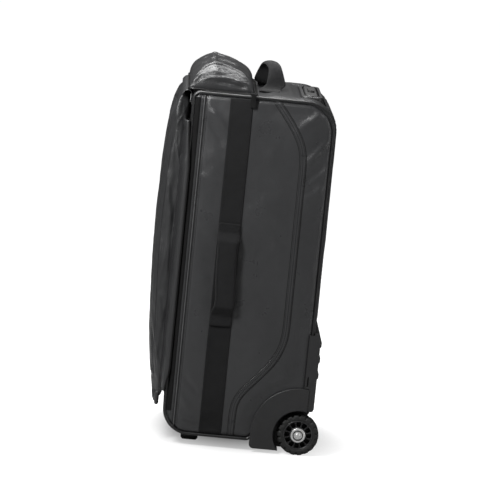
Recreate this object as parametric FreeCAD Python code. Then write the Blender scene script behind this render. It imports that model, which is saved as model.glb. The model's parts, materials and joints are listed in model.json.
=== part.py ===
import FreeCAD, Part
import math
import os

# Wheeled duffel bag, standing upright on its two wheels and two front feet.
# Frame: X from the front lid (-X) to the wheels and pull handle (+X), Y along the wheel axle,
# Z up.  The origin is on the floor, under the middle of the bag.  All sizes are millimetres.

V = FreeCAD.Vector
os.makedirs("parts", exist_ok=True)

# ---- driving dimensions -------------------------------------------------------------------
overall_depth = 370.0        # lid face to the back of the wheels
wheel_r = 42.5
axle_x = overall_depth / 2 - wheel_r
axle_z = wheel_r

body_front = -137.0          # fabric body, side profile
body_back = 156.0
body_bottom = 22.0
body_top = 726.0
body_half_y = 172.0
corner_back_top = 65.0
corner_front_bottom = 55.0
corner_front_top = 16.0
wheel_corner_cut = 114.0     # 45 degree cut of the body at the wheels
fabric_t = 3.0               # coated cloth with its foam and lining
gap = 0.3                    # space between neighbouring soft parts

piping_r = 3.0
strap_x = -37.5              # middle of the side webbing
strap_w = 46.0
webbing_t = 1.8
handle_low_z = 254.0         # side carry handle
handle_high_z = 467.0
handle_stand_off = 12.0
handle_t = 5.0

mouth_half_y = 125.0         # main opening behind the lid
mouth_z0 = 112.0
mouth_z1 = 690.0
mouth_r = 60.0

lid_half_y = 160.0
lid_inner_x = -138.6
lid_outer_x = -overall_depth / 2
lid_top_z = 724.0
lid_bottom_z = 80.0
lid_tab_z = 70.0
lid_top_r = 55.0             # rounding of the lid's upper corners
lid_low_r = 16.0

pocket_x0 = -147.0           # soft pocket on the top end
pocket_x1 = -12.0
pocket_half_y = 152.0
pocket_rise = 56.0
pocket_crown = 0.34          # place of the dome's highest line, from front to back

top_handle_x = 20.0
top_handle_half_y = 75.0
top_handle_rise = 57.0
top_handle_w = 46.0

housing_r = 98.0             # moulded wheel housing
arch_r = 52.0
housing_bottom = 8.0
housing_cheek_y0 = body_half_y + gap
housing_cheek_t = 4.7
well_inner_y = 134.0
well_wall_t = 3.0
toe_r = 9.0
edge_round = 1.4             # softened outer edge of the housing

wheel_y0 = 142.0
wheel_y1 = 173.0
rim_r = 30.0
axle_r = 4.0
bearing_r = 11.0
bearing_w = 7.0
lug_count = 18

kick_top_z = 256.0
kick_low_z = 94.0
kick_x = 169.5
kick_ridge = 2.5
kick_half_y = 175.0
kick_inner_half_y = 130.0

foot_x0 = -94.5
foot_x1 = -59.5
foot_y0 = 56.0
foot_y1 = 110.0

tube_x = 106.0               # pull handle
tube_y = 75.0
tube_wall = 1.4
tube_play = 0.4
tube_outer = (22.0, 30.0)
tube_corner = 5.0
tube_bottom_z = 122.0
stage_step_z = 9.0           # each stage ends this far above the one outside it
grip_z0 = 700.0
grip_z1 = 730.0
grip_half = (13.0, 89.0)
bezel_half = (22.0, 108.0)
bezel_z0 = 680.0
bezel_z1 = 729.0
button_travel = 4.0


# ---- small builders -----------------------------------------------------------------------
def box(x0, x1, y0, y1, z0, z1):
    return Part.makeBox(x1 - x0, y1 - y0, z1 - z0, V(x0, y0, z0))


def cyl_y(x, z, r, y0, y1):
    return Part.makeCylinder(r, y1 - y0, V(x, y0, z), V(0, 1, 0))


def mirrored(shape):
    """The same piece on the other side of the bag's middle plane."""
    return shape.mirror(V(0, 0, 0), V(0, 1, 0))


def prism_y(points, y0, y1):
    """A polygon in X and Z, drawn out along Y."""
    wire = Part.makePolygon([V(x, y0, z) for x, z in points] + [V(points[0][0], y0, points[0][1])])
    return Part.Face(wire).extrude(V(0, y1 - y0, 0))


def rounded_wire(corners, place):
    """Closed wire through corners (u, v, radius); place turns u and v into a 3-D point."""
    count = len(corners)
    starts = []
    ends = []
    mids = []
    for i in range(count):
        u, v, r = corners[i]
        pu, pv, _ = corners[i - 1]
        nu, nv, _ = corners[(i + 1) % count]
        a = V(pu - u, pv - v, 0).normalize()
        b = V(nu - u, nv - v, 0).normalize()
        half = a.getAngle(b) / 2
        back = r / math.tan(half)
        bisector = (a + b).normalize()
        centre = V(u, v, 0) + bisector * (r / math.sin(half))
        starts.append(V(u, v, 0) + a * back)
        ends.append(V(u, v, 0) + b * back)
        mids.append(centre - bisector * r)
    edges = []
    for i in range(count):
        nxt = (i + 1) % count
        if corners[i][2] > 0:
            arc = Part.Arc(place(starts[i]), place(mids[i]), place(ends[i]))
            edges.append(arc.toShape())
        edges.append(Part.LineSegment(place(ends[i]), place(starts[nxt])).toShape())
    return Part.Wire(edges)


def rounded_rect_z(cx, cy, wx, wy, r, z0, z1):
    """Upright bar of rounded rectangular section."""
    hx = wx / 2
    hy = wy / 2
    corners = [(cx - hx, cy - hy, r), (cx + hx, cy - hy, r), (cx + hx, cy + hy, r), (cx - hx, cy + hy, r)]
    wire = rounded_wire(corners, lambda p: V(p.x, p.y, z0))
    return Part.Face(wire).extrude(V(0, 0, z1 - z0))


def rounded_rect_x(half_y, z0, z1, r, x0, x1):
    """Plate of rounded rectangular outline in Y and Z, drawn out along X."""
    corners = [(-half_y, z0, r), (half_y, z0, r), (half_y, z1, r), (-half_y, z1, r)]
    wire = rounded_wire(corners, lambda p: V(x0, p.x, p.y))
    return Part.Face(wire).extrude(V(x1 - x0, 0, 0))


def screw(pos, direction, head_r, head_t, shank_r, length):
    """Pan head screw: head above pos, shank along direction, with a hexagon socket."""
    head = Part.makeCylinder(head_r, head_t, pos, direction * -1)
    shank = Part.makeCylinder(shank_r, length, pos, direction)
    socket = Part.makeCylinder(head_r * 0.45, head_t * 0.6, pos - direction * head_t, direction)
    return head.fuse(shank).cut(socket)


def export(name, shape):
    shape.exportStep("parts/" + name + ".step")


# ---- fabric body --------------------------------------------------------------------------
def side_profile(inset, y):
    """Outline of the bag seen from the side, shrunk by inset, in the plane at y."""
    x0 = body_front + inset
    x1 = body_back - inset
    z0 = body_bottom + inset
    z1 = body_top - inset
    cut = wheel_corner_cut - inset * (2 - math.sqrt(2))
    corners = [
        (x0, z0, corner_front_bottom - inset),
        (x1 - cut, z0, 8.0),
        (x1, z0 + cut, 8.0),
        (x1, z1, corner_back_top - inset),
        (x0, z1, corner_front_top - inset),
    ]
    return rounded_wire(corners, lambda p: V(p.x, y, p.y))


def housing_screw_points():
    points = []
    for angle in (103, 130, 157):
        a = math.radians(angle)
        points.append((axle_x + 80 * math.cos(a), axle_z + 80 * math.sin(a)))
    return points


def side_panel():
    """One stitched side wall, as a plate inside the piping."""
    inset = 2 * piping_r + gap
    y0 = body_half_y - fabric_t
    plate = Part.Face(side_profile(inset, y0)).extrude(V(0, fabric_t, 0))
    for x, z in housing_screw_points():
        plate = plate.cut(cyl_y(x, z, 2.0, y0 - 1, body_half_y + 1))
    return plate


def piping():
    """Round corded edge that runs the whole way round a side wall."""
    y = body_half_y - piping_r - 0.5
    path = side_profile(piping_r, y)
    start = path.Edges[1].Vertexes[0].Point
    tangent = path.Edges[1].tangentAt(path.Edges[1].FirstParameter)
    ring = Part.Wire(Part.makeCircle(piping_r, start, tangent))
    return Part.Wire(path.Edges[1:] + path.Edges[:1]).makePipeShell([ring], True, False)


def foot_screw_points():
    middle = (foot_x0 + foot_x1) / 2
    return [(middle, side * y) for side in (-1, 1) for y in (foot_y0 + 14, foot_y1 - 14)]


def kick_screw_points():
    return [(y, z) for y in (-120.0, 0.0, 120.0) for z in (150.0, 220.0)]


def gusset():
    """Wall that wraps over the top, back and bottom, up to the two piped edges."""
    half = body_half_y - 2 * piping_r - 0.5 - gap
    outer = Part.Face(side_profile(0, -half)).extrude(V(0, 2 * half, 0))
    inner = Part.Face(side_profile(fabric_t, -half - 1)).extrude(V(0, 2 * half + 2, 0))
    wall = outer.cut(inner)
    front_z0 = body_bottom + corner_front_bottom + 3
    front_z1 = body_top - corner_front_top
    wall = wall.cut(box(body_front - 1, body_front + fabric_t + 1, -half - 1, half + 1, front_z0, front_z1))
    bx = bezel_half[0] + gap
    by = bezel_half[1] + gap
    wall = wall.cut(box(tube_x - bx, tube_x + bx, -by, by, bezel_z0, bezel_z1 + 10))
    for x, y in foot_screw_points():
        wall = wall.cut(Part.makeCylinder(2.0, 8, V(x, y, body_bottom - 2)))
    for y, z in kick_screw_points():
        wall = wall.cut(Part.makeCylinder(2.0, 12, V(body_back - 6, y, z), V(1, 0, 0)))
    return wall


def front_panel():
    """Front wall with the large rounded mouth of the main compartment."""
    half = body_half_y - 2 * piping_r - 0.5 - gap
    front_z0 = body_bottom + corner_front_bottom + 3 + gap
    front_z1 = body_top - corner_front_top - gap
    plate = box(body_front, body_front + fabric_t, -half, half, front_z0, front_z1)
    mouth = rounded_rect_x(mouth_half_y, mouth_z0, mouth_z1, mouth_r, body_front - 1, body_front + fabric_t + 1)
    return plate.cut(mouth)


def base_board():
    z0 = body_bottom + fabric_t + gap
    board_x0 = body_front + corner_front_bottom - 4
    board = box(board_x0, body_back - wheel_corner_cut - 6, -150, 150, z0, z0 + 3)
    for x, y in foot_screw_points():
        board = board.cut(Part.makeCylinder(2.0, 8, V(x, y, z0 - 2)))
    return board


back_board_x = tube_x - tube_outer[0] / 2 - 5


def back_board():
    """Stiff sheet between the main compartment and the pull handle's tubes."""
    return rounded_rect_x(152, 82, bezel_z0 - 4, 20, back_board_x - 2.5, back_board_x)


# ---- webbing ------------------------------------------------------------------------------
def side_strap():
    y = body_half_y + 0.1
    half = strap_w / 2
    return box(strap_x - half, strap_x + half, y, y + webbing_t, body_bottom + 7, body_top - 7)


def side_handle():
    """Carry handle that arches off the strap, with both ends stitched down flat."""
    y = body_half_y + 0.1 + webbing_t + 0.1
    tab = 20.0
    slope = 24.0
    far = y + handle_stand_off
    z0 = handle_low_z
    z1 = handle_high_z
    outline = [
        (y, z0), (y + handle_t, z0), (y + handle_t, z0 + tab), (far + handle_t, z0 + tab + slope),
        (far + handle_t, z1 - tab - slope), (y + handle_t, z1 - tab), (y + handle_t, z1), (y, z1),
        (y, z1 - tab - 2), (far, z1 - tab - slope - 2), (far, z0 + tab + slope + 2), (y, z0 + tab + 2),
    ]
    x0 = strap_x - strap_w / 2 + 1
    points = [V(x0, u, v) for u, v in outline]
    face = Part.Face(Part.makePolygon(points + [points[0]]))
    return face.extrude(V(strap_w - 2, 0, 0))


def top_handle():
    """Webbing loop across the top end: two flat tabs and a rounded arch."""
    z = body_top + 0.2
    t = 4.0
    foot = top_handle_half_y
    leg = 48.0
    arch = 34.0

    def band(offset):
        base = V(0, foot + 12, z + (0 if offset == 0 else t))
        bend = V(0, leg + offset, z + (0 if offset == 0 else t))
        shoulder = V(0, arch + offset, z + top_handle_rise - 20 - t)
        crown = V(0, 0, z + top_handle_rise - t + offset)
        knee = V(0, (arch + offset) * 0.72, z + top_handle_rise - t - 8 + offset * 0.8)
        return base, bend, shoulder, knee, crown

    inner = band(0)
    outer = band(t)

    def flipped(p):
        return V(p.x, -p.y, p.z)

    edges = []
    for pts in (inner, outer):
        edges.append(Part.LineSegment(pts[0], pts[1]).toShape())
        edges.append(Part.LineSegment(pts[1], pts[2]).toShape())
        edges.append(Part.Arc(pts[2], pts[3], pts[4]).toShape())
        edges.append(Part.Arc(pts[4], flipped(pts[3]), flipped(pts[2])).toShape())
        edges.append(Part.LineSegment(flipped(pts[2]), flipped(pts[1])).toShape())
        edges.append(Part.LineSegment(flipped(pts[1]), flipped(pts[0])).toShape())
    edges.append(Part.LineSegment(inner[0], outer[0]).toShape())
    edges.append(Part.LineSegment(flipped(inner[0]), flipped(outer[0])).toShape())
    wire = Part.Wire(Part.sortEdges(edges)[0])
    loop = Part.Face(wire).extrude(V(top_handle_w, 0, 0))
    loop.translate(V(top_handle_x - top_handle_w / 2, 0, 0))
    return loop


# ---- lid ----------------------------------------------------------------------------------
def lid_outline(grow, x0, x1):
    half = lid_half_y - 0.5 + grow
    z0 = lid_bottom_z - grow
    z1 = lid_top_z + grow
    low = lid_low_r + grow
    top = lid_top_r + grow
    corners = [(-half, z0, low), (half, z0, low), (half, z1, top), (-half, z1, top)]
    wire = rounded_wire(corners, lambda p: V(x0, p.x, p.y))
    return Part.Face(wire).extrude(V(x1 - x0, 0, 0))


def lid_pad():
    """Deep padded lid: bowed outer face, straight inner face, thin rolled bottom end."""
    y0 = -lid_half_y
    top_outer = V(-163.0, y0, lid_top_z - 10)
    low_outer = V(-166.0, y0, 108.0)
    toe = V(-156.0, y0, lid_bottom_z)
    heel = V(-147.5, y0, lid_bottom_z)
    relief = V(-147.5, y0, 104.0)
    low_inner = V(lid_inner_x, y0, 114.0)
    top_inner = V(lid_inner_x, y0, 700.0)
    top_edge = V(-150.0, y0, lid_top_z)
    edges = [
        Part.Arc(top_outer, V(lid_outer_x, y0, 420.0), low_outer).toShape(),
        Part.LineSegment(low_outer, toe).toShape(),
        Part.LineSegment(toe, heel).toShape(),
        Part.LineSegment(heel, relief).toShape(),
        Part.LineSegment(relief, low_inner).toShape(),
        Part.LineSegment(low_inner, top_inner).toShape(),
        Part.LineSegment(top_inner, top_edge).toShape(),
        Part.LineSegment(top_edge, top_outer).toShape(),
    ]
    slab = Part.Face(Part.Wire(edges)).extrude(V(0, 2 * lid_half_y, 0))
    return slab.common(lid_outline(0, lid_outer_x - 5, -130))


def lid_hem():
    """Bound edges down both sides of the lid's inner face."""
    x0 = lid_inner_x - 4.4
    x1 = lid_inner_x - 1.4
    ring = lid_outline(2.0, x0, x1).cut(lid_outline(0, x0 - 1, x1 + 1))
    return ring.common(box(x0, x1, -lid_half_y - 5, lid_half_y + 5, 150, lid_top_z - 30))


def lid_tab():
    """Folded webbing tab under the lid's lower edge, pulled to lift the lid."""
    return rounded_rect_z(-151.5, 0, 4.0, 44.0, 1.9, lid_tab_z, lid_bottom_z)


def zip_tape_main():
    """Zip tape stitched round the mouth on the two sides and the bottom."""
    outer = rounded_rect_x(mouth_half_y + 22, mouth_z0 - 22, mouth_z1 + 2, 60, body_front - 0.9, body_front - 0.1)
    inner = rounded_rect_x(mouth_half_y + 4, mouth_z0 - 4, mouth_z1 + 60, 50, body_front - 2, body_front + 1)
    return outer.cut(inner)


def zip_slider_main():
    """One of the two sliders that meet at the bottom middle of the main zip."""
    z = mouth_z0 - 13
    body = box(body_front - 5.0, body_front - 1.0, 1.0, 13.0, z - 5, z + 5)
    bridge = box(body_front - 7.5, body_front - 5.0, 4.0, 10.0, z - 2, z + 2)
    pull = box(body_front - 7.3, body_front - 5.6, 5.0, 9.0, z - 24, z - 2)
    return body.fuse(bridge).fuse(pull)


# ---- end pocket ---------------------------------------------------------------------------
def end_pocket():
    """Soft pocket on the top end: a low dome, higher towards the front."""
    z = body_top + 0.4

    def section(y, rise, shrink):
        left = V(pocket_x0 + shrink, y, z)
        right = V(pocket_x1 - shrink, y, z)
        crown = V(pocket_x0 + (pocket_x1 - pocket_x0) * pocket_crown, y, z + rise)
        arc = Part.Arc(left, crown, right).toShape()
        return Part.Wire([arc, Part.LineSegment(right, left).toShape()])

    half = pocket_half_y
    flanks = [(1.0, 16, 6), (0.88, pocket_rise * 0.76, 1.5), (0.55, pocket_rise * 0.94, 0.5)]
    sections = [(-half * part, rise, shrink) for part, rise, shrink in flanks] + [(0, pocket_rise, 0)]
    sections += [(half * part, rise, shrink) for part, rise, shrink in reversed(flanks)]
    return Part.makeLoft([section(*s) for s in sections], True, False)


zip_y = 161.0
slider_x = -15.0


def zip_tape_pocket():
    """Zip tape of the end pocket: along both long edges and across behind the dome."""
    z0 = body_top + 0.1
    z1 = z0 + 0.8
    outer = box(-120, pocket_x1 + 7, -zip_y - 3, zip_y + 3, z0, z1)
    inner = box(-121, pocket_x1 + 1, -zip_y + 7, zip_y - 7, z0 - 1, z1 + 1)
    return outer.cut(inner)


def pocket_slider():
    z = body_top + 1.0
    body = box(slider_x - 6, slider_x + 6, -zip_y - 5, -zip_y + 5, z, z + 4)
    lug = box(slider_x - 3, slider_x + 3, -zip_y - 9, -zip_y - 5, z + 1, z + 4)
    hole = Part.makeCylinder(1.0, 8, V(slider_x - 4, -zip_y - 7.2, z + 2.5), V(1, 0, 0))
    return body.fuse(lug).cut(hole)


def pocket_pull():
    """Cord pull that hangs over the piped edge from the slider's cross pin."""
    z = body_top + 3.5
    y = -zip_y - 7.2
    pin = Part.makeCylinder(0.92, 10, V(slider_x - 5, y, z), V(1, 0, 0))
    arms = box(slider_x - 5, slider_x - 3.3, -176.5, y, z - 0.9, z + 0.9)
    arms = arms.fuse(box(slider_x + 3.3, slider_x + 5, -176.5, y, z - 0.9, z + 0.9))
    tab = box(slider_x - 5, slider_x + 5, -178.5, -175.9, z - 26, z + 0.9)
    return pin.fuse(arms).fuse(tab)


# ---- wheel end ----------------------------------------------------------------------------
def housing_cheek(y0, y1):
    """Outer plate of the housing: round over the wheel, straight skirt in front, open arch."""
    front = axle_x - housing_r
    reach = body_back - axle_x
    arch_low_x = axle_x - math.sqrt(arch_r ** 2 - (axle_z - housing_bottom) ** 2)
    arch_high_z = axle_z + math.sqrt(arch_r ** 2 - reach ** 2)
    outer_high_z = axle_z + math.sqrt(housing_r ** 2 - reach ** 2)
    bow = toe_r * (1 - math.sqrt(0.5))

    def at(x, z):
        return V(x, y0, z)

    def on_circle(r, degrees):
        a = math.radians(degrees)
        return at(axle_x + r * math.cos(a), axle_z + r * math.sin(a))

    edges = [
        Part.LineSegment(at(front + toe_r, housing_bottom), at(arch_low_x, housing_bottom)).toShape(),
        Part.Arc(at(arch_low_x, housing_bottom), on_circle(arch_r, 135), at(body_back, arch_high_z)).toShape(),
        Part.LineSegment(at(body_back, arch_high_z), at(body_back, outer_high_z)).toShape(),
        Part.Arc(at(body_back, outer_high_z), on_circle(housing_r, 120), at(front, axle_z)).toShape(),
        Part.LineSegment(at(front, axle_z), at(front, housing_bottom + toe_r)).toShape(),
        Part.Arc(at(front, housing_bottom + toe_r), at(front + bow, housing_bottom + bow),
                 at(front + toe_r, housing_bottom)).toShape(),
    ]
    plate = Part.Face(Part.Wire(edges)).extrude(V(0, y1 - y0, 0))
    rim = [e for e in plate.Edges if e.BoundBox.YMin > y1 - 0.01 and e.BoundBox.XMin < front + 0.1]
    return plate.makeFillet(edge_round, rim)


def wheel_housing():
    """Moulded cheek, arched well and inner wall that carries the axle."""
    y0 = housing_cheek_y0
    y1 = y0 + housing_cheek_t
    cheek = housing_cheek(y0, y1)
    # the arched well runs inward from the cheek
    tunnel = cyl_y(axle_x, axle_z, arch_r + well_wall_t, well_inner_y, y1)
    tunnel = tunnel.cut(cyl_y(axle_x, axle_z, arch_r, well_inner_y + well_wall_t, y1 + 1))
    keep = prism_y([(axle_x - 70, housing_bottom), (axle_x - 20, housing_bottom), (axle_x, axle_z - 14),
                    (axle_x + 14, axle_z), (body_back - 2, axle_z + 14), (body_back - 2, axle_z + 70),
                    (axle_x - 70, axle_z + 70)], well_inner_y - 1, y1 + 1)
    housing = cheek.fuse(tunnel.common(keep)).removeSplitter()
    housing = housing.cut(cyl_y(axle_x, axle_z, axle_r, well_inner_y - 1, wheel_y1))
    for x, z in housing_screw_points():
        housing = housing.cut(cyl_y(x, z, 2.0, y0 - 1, y0 + 3.0))
    return housing


def housing_screws():
    screws = []
    for x, z in housing_screw_points():
        y = body_half_y - fabric_t
        screws.append(screw(V(x, y, z), V(0, 1, 0), 4.5, 2.4, 2.0, housing_cheek_y0 + 3.0 - y))
    return screws


def tyre():
    """Rubber tread with block lugs round its face edges."""
    ring = cyl_y(axle_x, axle_z, wheel_r, wheel_y0 + 2, wheel_y1 - 2)
    ring = ring.cut(cyl_y(axle_x, axle_z, rim_r, wheel_y0, wheel_y1))
    shoulder = cyl_y(axle_x, axle_z, wheel_r - 3, wheel_y0, wheel_y1)
    shoulder = shoulder.cut(cyl_y(axle_x, axle_z, rim_r, wheel_y0 - 1, wheel_y1 + 1))
    ring = ring.fuse(shoulder)
    for i in range(lug_count):
        angle = 360.0 * i / lug_count
        for y0, y1 in ((wheel_y0 - 1, wheel_y0 + 9), (wheel_y1 - 9, wheel_y1 + 1)):
            notch = box(axle_x - 1.6, axle_x + 1.6, y0, y1, axle_z + wheel_r - 4.0, axle_z + wheel_r + 2)
            notch.rotate(V(axle_x, 0, axle_z), V(0, 1, 0), angle + (0 if y0 < wheel_y0 else 10))
            ring = ring.cut(notch)
    return ring


def wheel_rim():
    """Hub, twelve windows between thin spokes, and the seat of the tyre."""
    y0 = wheel_y0 + 2
    y1 = wheel_y1 - 2
    disc = cyl_y(axle_x, axle_z, rim_r, y0, y1)
    recess = cyl_y(axle_x, axle_z, rim_r - 2.5, y1 - 4, y1 + 1)
    recess = recess.cut(cyl_y(axle_x, axle_z, 15.5, y1 - 5, y1 + 2))
    disc = disc.cut(recess)
    for i in range(12):
        a = math.radians(30 * i)
        disc = disc.cut(cyl_y(axle_x + 21.5 * math.cos(a), axle_z + 21.5 * math.sin(a), 4.0, y0 - 1, y1 + 1))
    disc = disc.cut(cyl_y(axle_x, axle_z, bearing_r, y0 - 1, y0 + bearing_w))
    disc = disc.cut(cyl_y(axle_x, axle_z, bearing_r, y1 - bearing_w - 4, y1 + 1))
    return disc.cut(cyl_y(axle_x, axle_z, axle_r + 2.5, y0 - 1, y1 + 1))


def wheel_bearings():
    """Two plain flanged bushes pressed into the hub, running on the axle bolt."""
    y0 = wheel_y0 + 2
    y1 = wheel_y1 - 2
    rings = []
    for start, end in ((y0, y0 + bearing_w), (y1 - bearing_w - 4, y1 - 4)):
        ring = cyl_y(axle_x, axle_z, bearing_r, start, end)
        rings.append(ring.cut(cyl_y(axle_x, axle_z, axle_r + 0.05, start - 1, end + 1)))
    return rings


def hub_cap():
    """Bright snap-in cap with a raised round centre."""
    y1 = wheel_y1 - 2
    cap = cyl_y(axle_x, axle_z, bearing_r, y1 - 2.0, y1)
    flange = cyl_y(axle_x, axle_z, 15.0, y1, y1 + 2.5)
    flange = flange.makeFillet(1.2, [flange.Edges[0]])
    boss = cyl_y(axle_x, axle_z, 6.0, y1 + 2.5, y1 + 4.0)
    socket = cyl_y(axle_x, axle_z, 3.0, y1 + 2.0, y1 + 5.0)
    return cap.fuse(flange).fuse(boss).cut(socket)


def axle_bolt():
    """Shoulder bolt through the housing's inner wall, with its nut inside the bag."""
    inner = well_inner_y
    shaft = cyl_y(axle_x, axle_z, axle_r, inner - 7, wheel_y1 - 8.5)
    head = cyl_y(axle_x, axle_z, axle_r + 2.0, wheel_y1 - 6, wheel_y1 - 4.4)
    neck = cyl_y(axle_x, axle_z, axle_r, wheel_y1 - 8.5, wheel_y1 - 6)
    nut = cyl_y(axle_x, axle_z, 7.0, inner - 6, inner)
    spacer = cyl_y(axle_x, axle_z, 7.0, inner + well_wall_t, wheel_y0 + 1.6)
    return shaft.fuse(neck).fuse(head).fuse(nut).fuse(spacer)


def kick_plate():
    """Moulded guard: ribbed back plate, side flanges and a ramp down between the wheels."""
    x0 = body_back + gap
    outline = [(x0, kick_low_z), (kick_x - 3, kick_low_z), (kick_x, kick_low_z + 6)]
    for ridge_z in (171.0, 204.0, 236.0):
        outline += [(kick_x, ridge_z - 9), (kick_x + kick_ridge, ridge_z - 5), (kick_x + kick_ridge, ridge_z + 3),
                    (kick_x, ridge_z + 6)]
    outline += [(kick_x - 2, kick_top_z - 3), (kick_x - 6, kick_top_z), (x0, kick_top_z)]
    plate = prism_y(outline, -kick_half_y, kick_half_y)
    flange_z0 = axle_z + housing_r + 1.0
    for side in (-1, 1):
        y_in = body_half_y + gap
        flange = box(body_back - 10, x0 + 3, min(side * y_in, side * kick_half_y),
                     max(side * y_in, side * kick_half_y), flange_z0, kick_top_z - 4)
        slot = box(body_back - 6, body_back - 3, side * y_in - 4, side * y_in + 4, 146.0, 166.0)
        plate = plate.fuse(flange.cut(slot))
    step = gap * math.sqrt(2)
    ramp_t = 8.0
    cut_x = body_back - wheel_corner_cut
    under = body_bottom - gap
    ramp_top = body_bottom + wheel_corner_cut - step
    ramp = [(cut_x - 10, under), (cut_x + step, under), (x0, ramp_top), (x0 + 3, ramp_top),
            (x0 + 3, ramp_top + 3 - ramp_t), (cut_x + step + ramp_t - 4, under - 4), (cut_x - 6, under - 4)]
    plate = plate.fuse(prism_y(ramp, -kick_inner_half_y, kick_inner_half_y)).removeSplitter()
    for y, z in kick_screw_points():
        plate = plate.cut(Part.makeCylinder(2.0, 40, V(x0 - 5, y, z), V(1, 0, 0)))
    return plate


def kick_screws():
    screws = []
    for y, z in kick_screw_points():
        screws.append(screw(V(kick_x, y, z), V(-1, 0, 0), 4.5, 2.2, 2.0, kick_x - body_back + fabric_t + 1))
    return screws


def foot():
    """Front foot block with two counterbored screw holes."""
    top = body_bottom - gap
    outline = [(foot_x0, 4), (foot_x0 + 4, 0), (foot_x1 - 4, 0), (foot_x1, 4), (foot_x1, top), (foot_x0, top)]
    block = prism_y(outline, foot_y0, foot_y1)
    for x, y in foot_screw_points():
        if y > 0:
            block = block.cut(Part.makeCylinder(4.6, 8, V(x, y, -1)))
            block = block.cut(Part.makeCylinder(2.0, 40, V(x, y, -1)))
    return block


def foot_screws():
    screws = []
    for x, y in foot_screw_points():
        screws.append(screw(V(x, y, 7.0), V(0, 0, 1), 4.5, 2.4, 2.0, body_bottom + fabric_t + 3 - 7))
    return screws


# ---- pull handle --------------------------------------------------------------------------
def stage_size(stage):
    """Outside size of tube stage 0 (fixed), 1 (middle) or 2 (inner)."""
    shrink = stage * 2 * (tube_wall + tube_play)
    return tube_outer[0] - shrink, tube_outer[1] - shrink


def stage_corner(stage):
    return tube_corner - stage * (tube_wall + tube_play)


def tube(stage, z0, z1, side):
    wx, wy = stage_size(stage)
    r = stage_corner(stage)
    outside = rounded_rect_z(tube_x, side * tube_y, wx, wy, r, z0, z1)
    wall = 2 * tube_wall
    inside = rounded_rect_z(tube_x, side * tube_y, wx - wall, wy - wall, max(r - tube_wall, 0.3), z0 - 1, z1 + 1)
    return outside.cut(inside)


stage_bottom = [tube_bottom_z + i * stage_step_z for i in range(3)]
outer_top = bezel_z0 + 10
mid_top = grip_z0 - 1.5
inner_top = grip_z0 + 9
latch_z = stage_bottom[2] + 8
rod_r = 2.0


def outer_tube(side):
    return tube(0, stage_bottom[0], outer_top, side)


def mid_tube(side):
    return tube(1, stage_bottom[1], mid_top, side)


def inner_tube(side):
    shell = tube(2, stage_bottom[2], inner_top, side)
    hole = Part.makeCylinder(3.3, 10, V(tube_x - 12, side * tube_y, latch_z), V(1, 0, 0))
    return shell.cut(hole)


def tube_plug(side):
    """Moulded plug in the foot of an inner tube, which guides the latch bolt."""
    wx, wy = stage_size(2)
    wall = 2 * tube_wall
    r = max(stage_corner(2) - tube_wall, 0.3)
    plug = rounded_rect_z(tube_x, side * tube_y, wx - wall, wy - wall, r, stage_bottom[2], latch_z + 12)
    bolt_way = Part.makeCylinder(3.3, 14, V(tube_x - 10, side * tube_y, latch_z), V(1, 0, 0))
    rod_way = Part.makeCylinder(rod_r + 0.4, 20, V(tube_x, side * tube_y, latch_z))
    return plug.cut(bolt_way).cut(rod_way)


def latch_bolt(side):
    wx, _ = stage_size(2)
    start = tube_x - wx / 2
    bolt = Part.makeCylinder(3.0, 9, V(start, side * tube_y, latch_z), V(1, 0, 0))
    return bolt.makeChamfer(0.8, [bolt.Edges[2]])


def release_spring(side):
    """Return spring that lifts the push rod and its button, as the sleeve its coil fills."""
    z0 = latch_z + 12.4
    coil = Part.makeCylinder(4.4, 27.0, V(tube_x, side * tube_y, z0))
    return coil.cut(Part.makeCylinder(3.4, 29.0, V(tube_x, side * tube_y, z0 - 1)))


cavity_z0 = grip_z0 + 9
cavity_z1 = grip_z1 - 8
bar_z1 = cavity_z1 - 0.5
bar_z0 = cavity_z0 + button_travel + 0.5


def push_rod(side):
    """Rod from the button's cross bar down to the latch, with a collar for its spring."""
    rod_bottom = latch_z + 3.0 + button_travel + 1.0
    rod = Part.makeCylinder(rod_r, bar_z0 - rod_bottom, V(tube_x, side * tube_y, rod_bottom))
    collar = Part.makeCylinder(4.6, 3.0, V(tube_x, side * tube_y, latch_z + 12.4 + 28.0))
    return rod.fuse(collar)


def release_button():
    """Push button with the cross bar that reaches both tubes."""
    bar = box(tube_x - 5, tube_x + 5, -tube_y - 4, tube_y + 4, bar_z0, bar_z1)
    cap = rounded_rect_z(tube_x, 0, 13, 60, 6, bar_z1, grip_z1 + 4)
    return bar.fuse(cap)


def grip():
    """Hollow grip bar that closes over both inner tubes."""
    hx, hy = grip_half
    bar = rounded_rect_z(tube_x, 0, 2 * hx, 2 * hy, 11, grip_z0, grip_z1)
    bar = bar.makeFillet(4, [e for e in bar.Edges if abs(e.BoundBox.ZMin - e.BoundBox.ZMax) < 0.01])
    cavity = box(tube_x - 5.6, tube_x + 5.6, -tube_y - 5, tube_y + 5, cavity_z0, cavity_z1)
    window = rounded_rect_z(tube_x, 0, 14, 61, 6.5, cavity_z0 + 2, grip_z1 + 1)
    bar = bar.cut(cavity).cut(window)
    wx, wy = stage_size(2)
    for side in (-1, 1):
        socket = rounded_rect_z(tube_x, side * tube_y, wx, wy, stage_corner(2), grip_z0 - 1, inner_top)
        bar = bar.cut(socket)
    return bar


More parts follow.
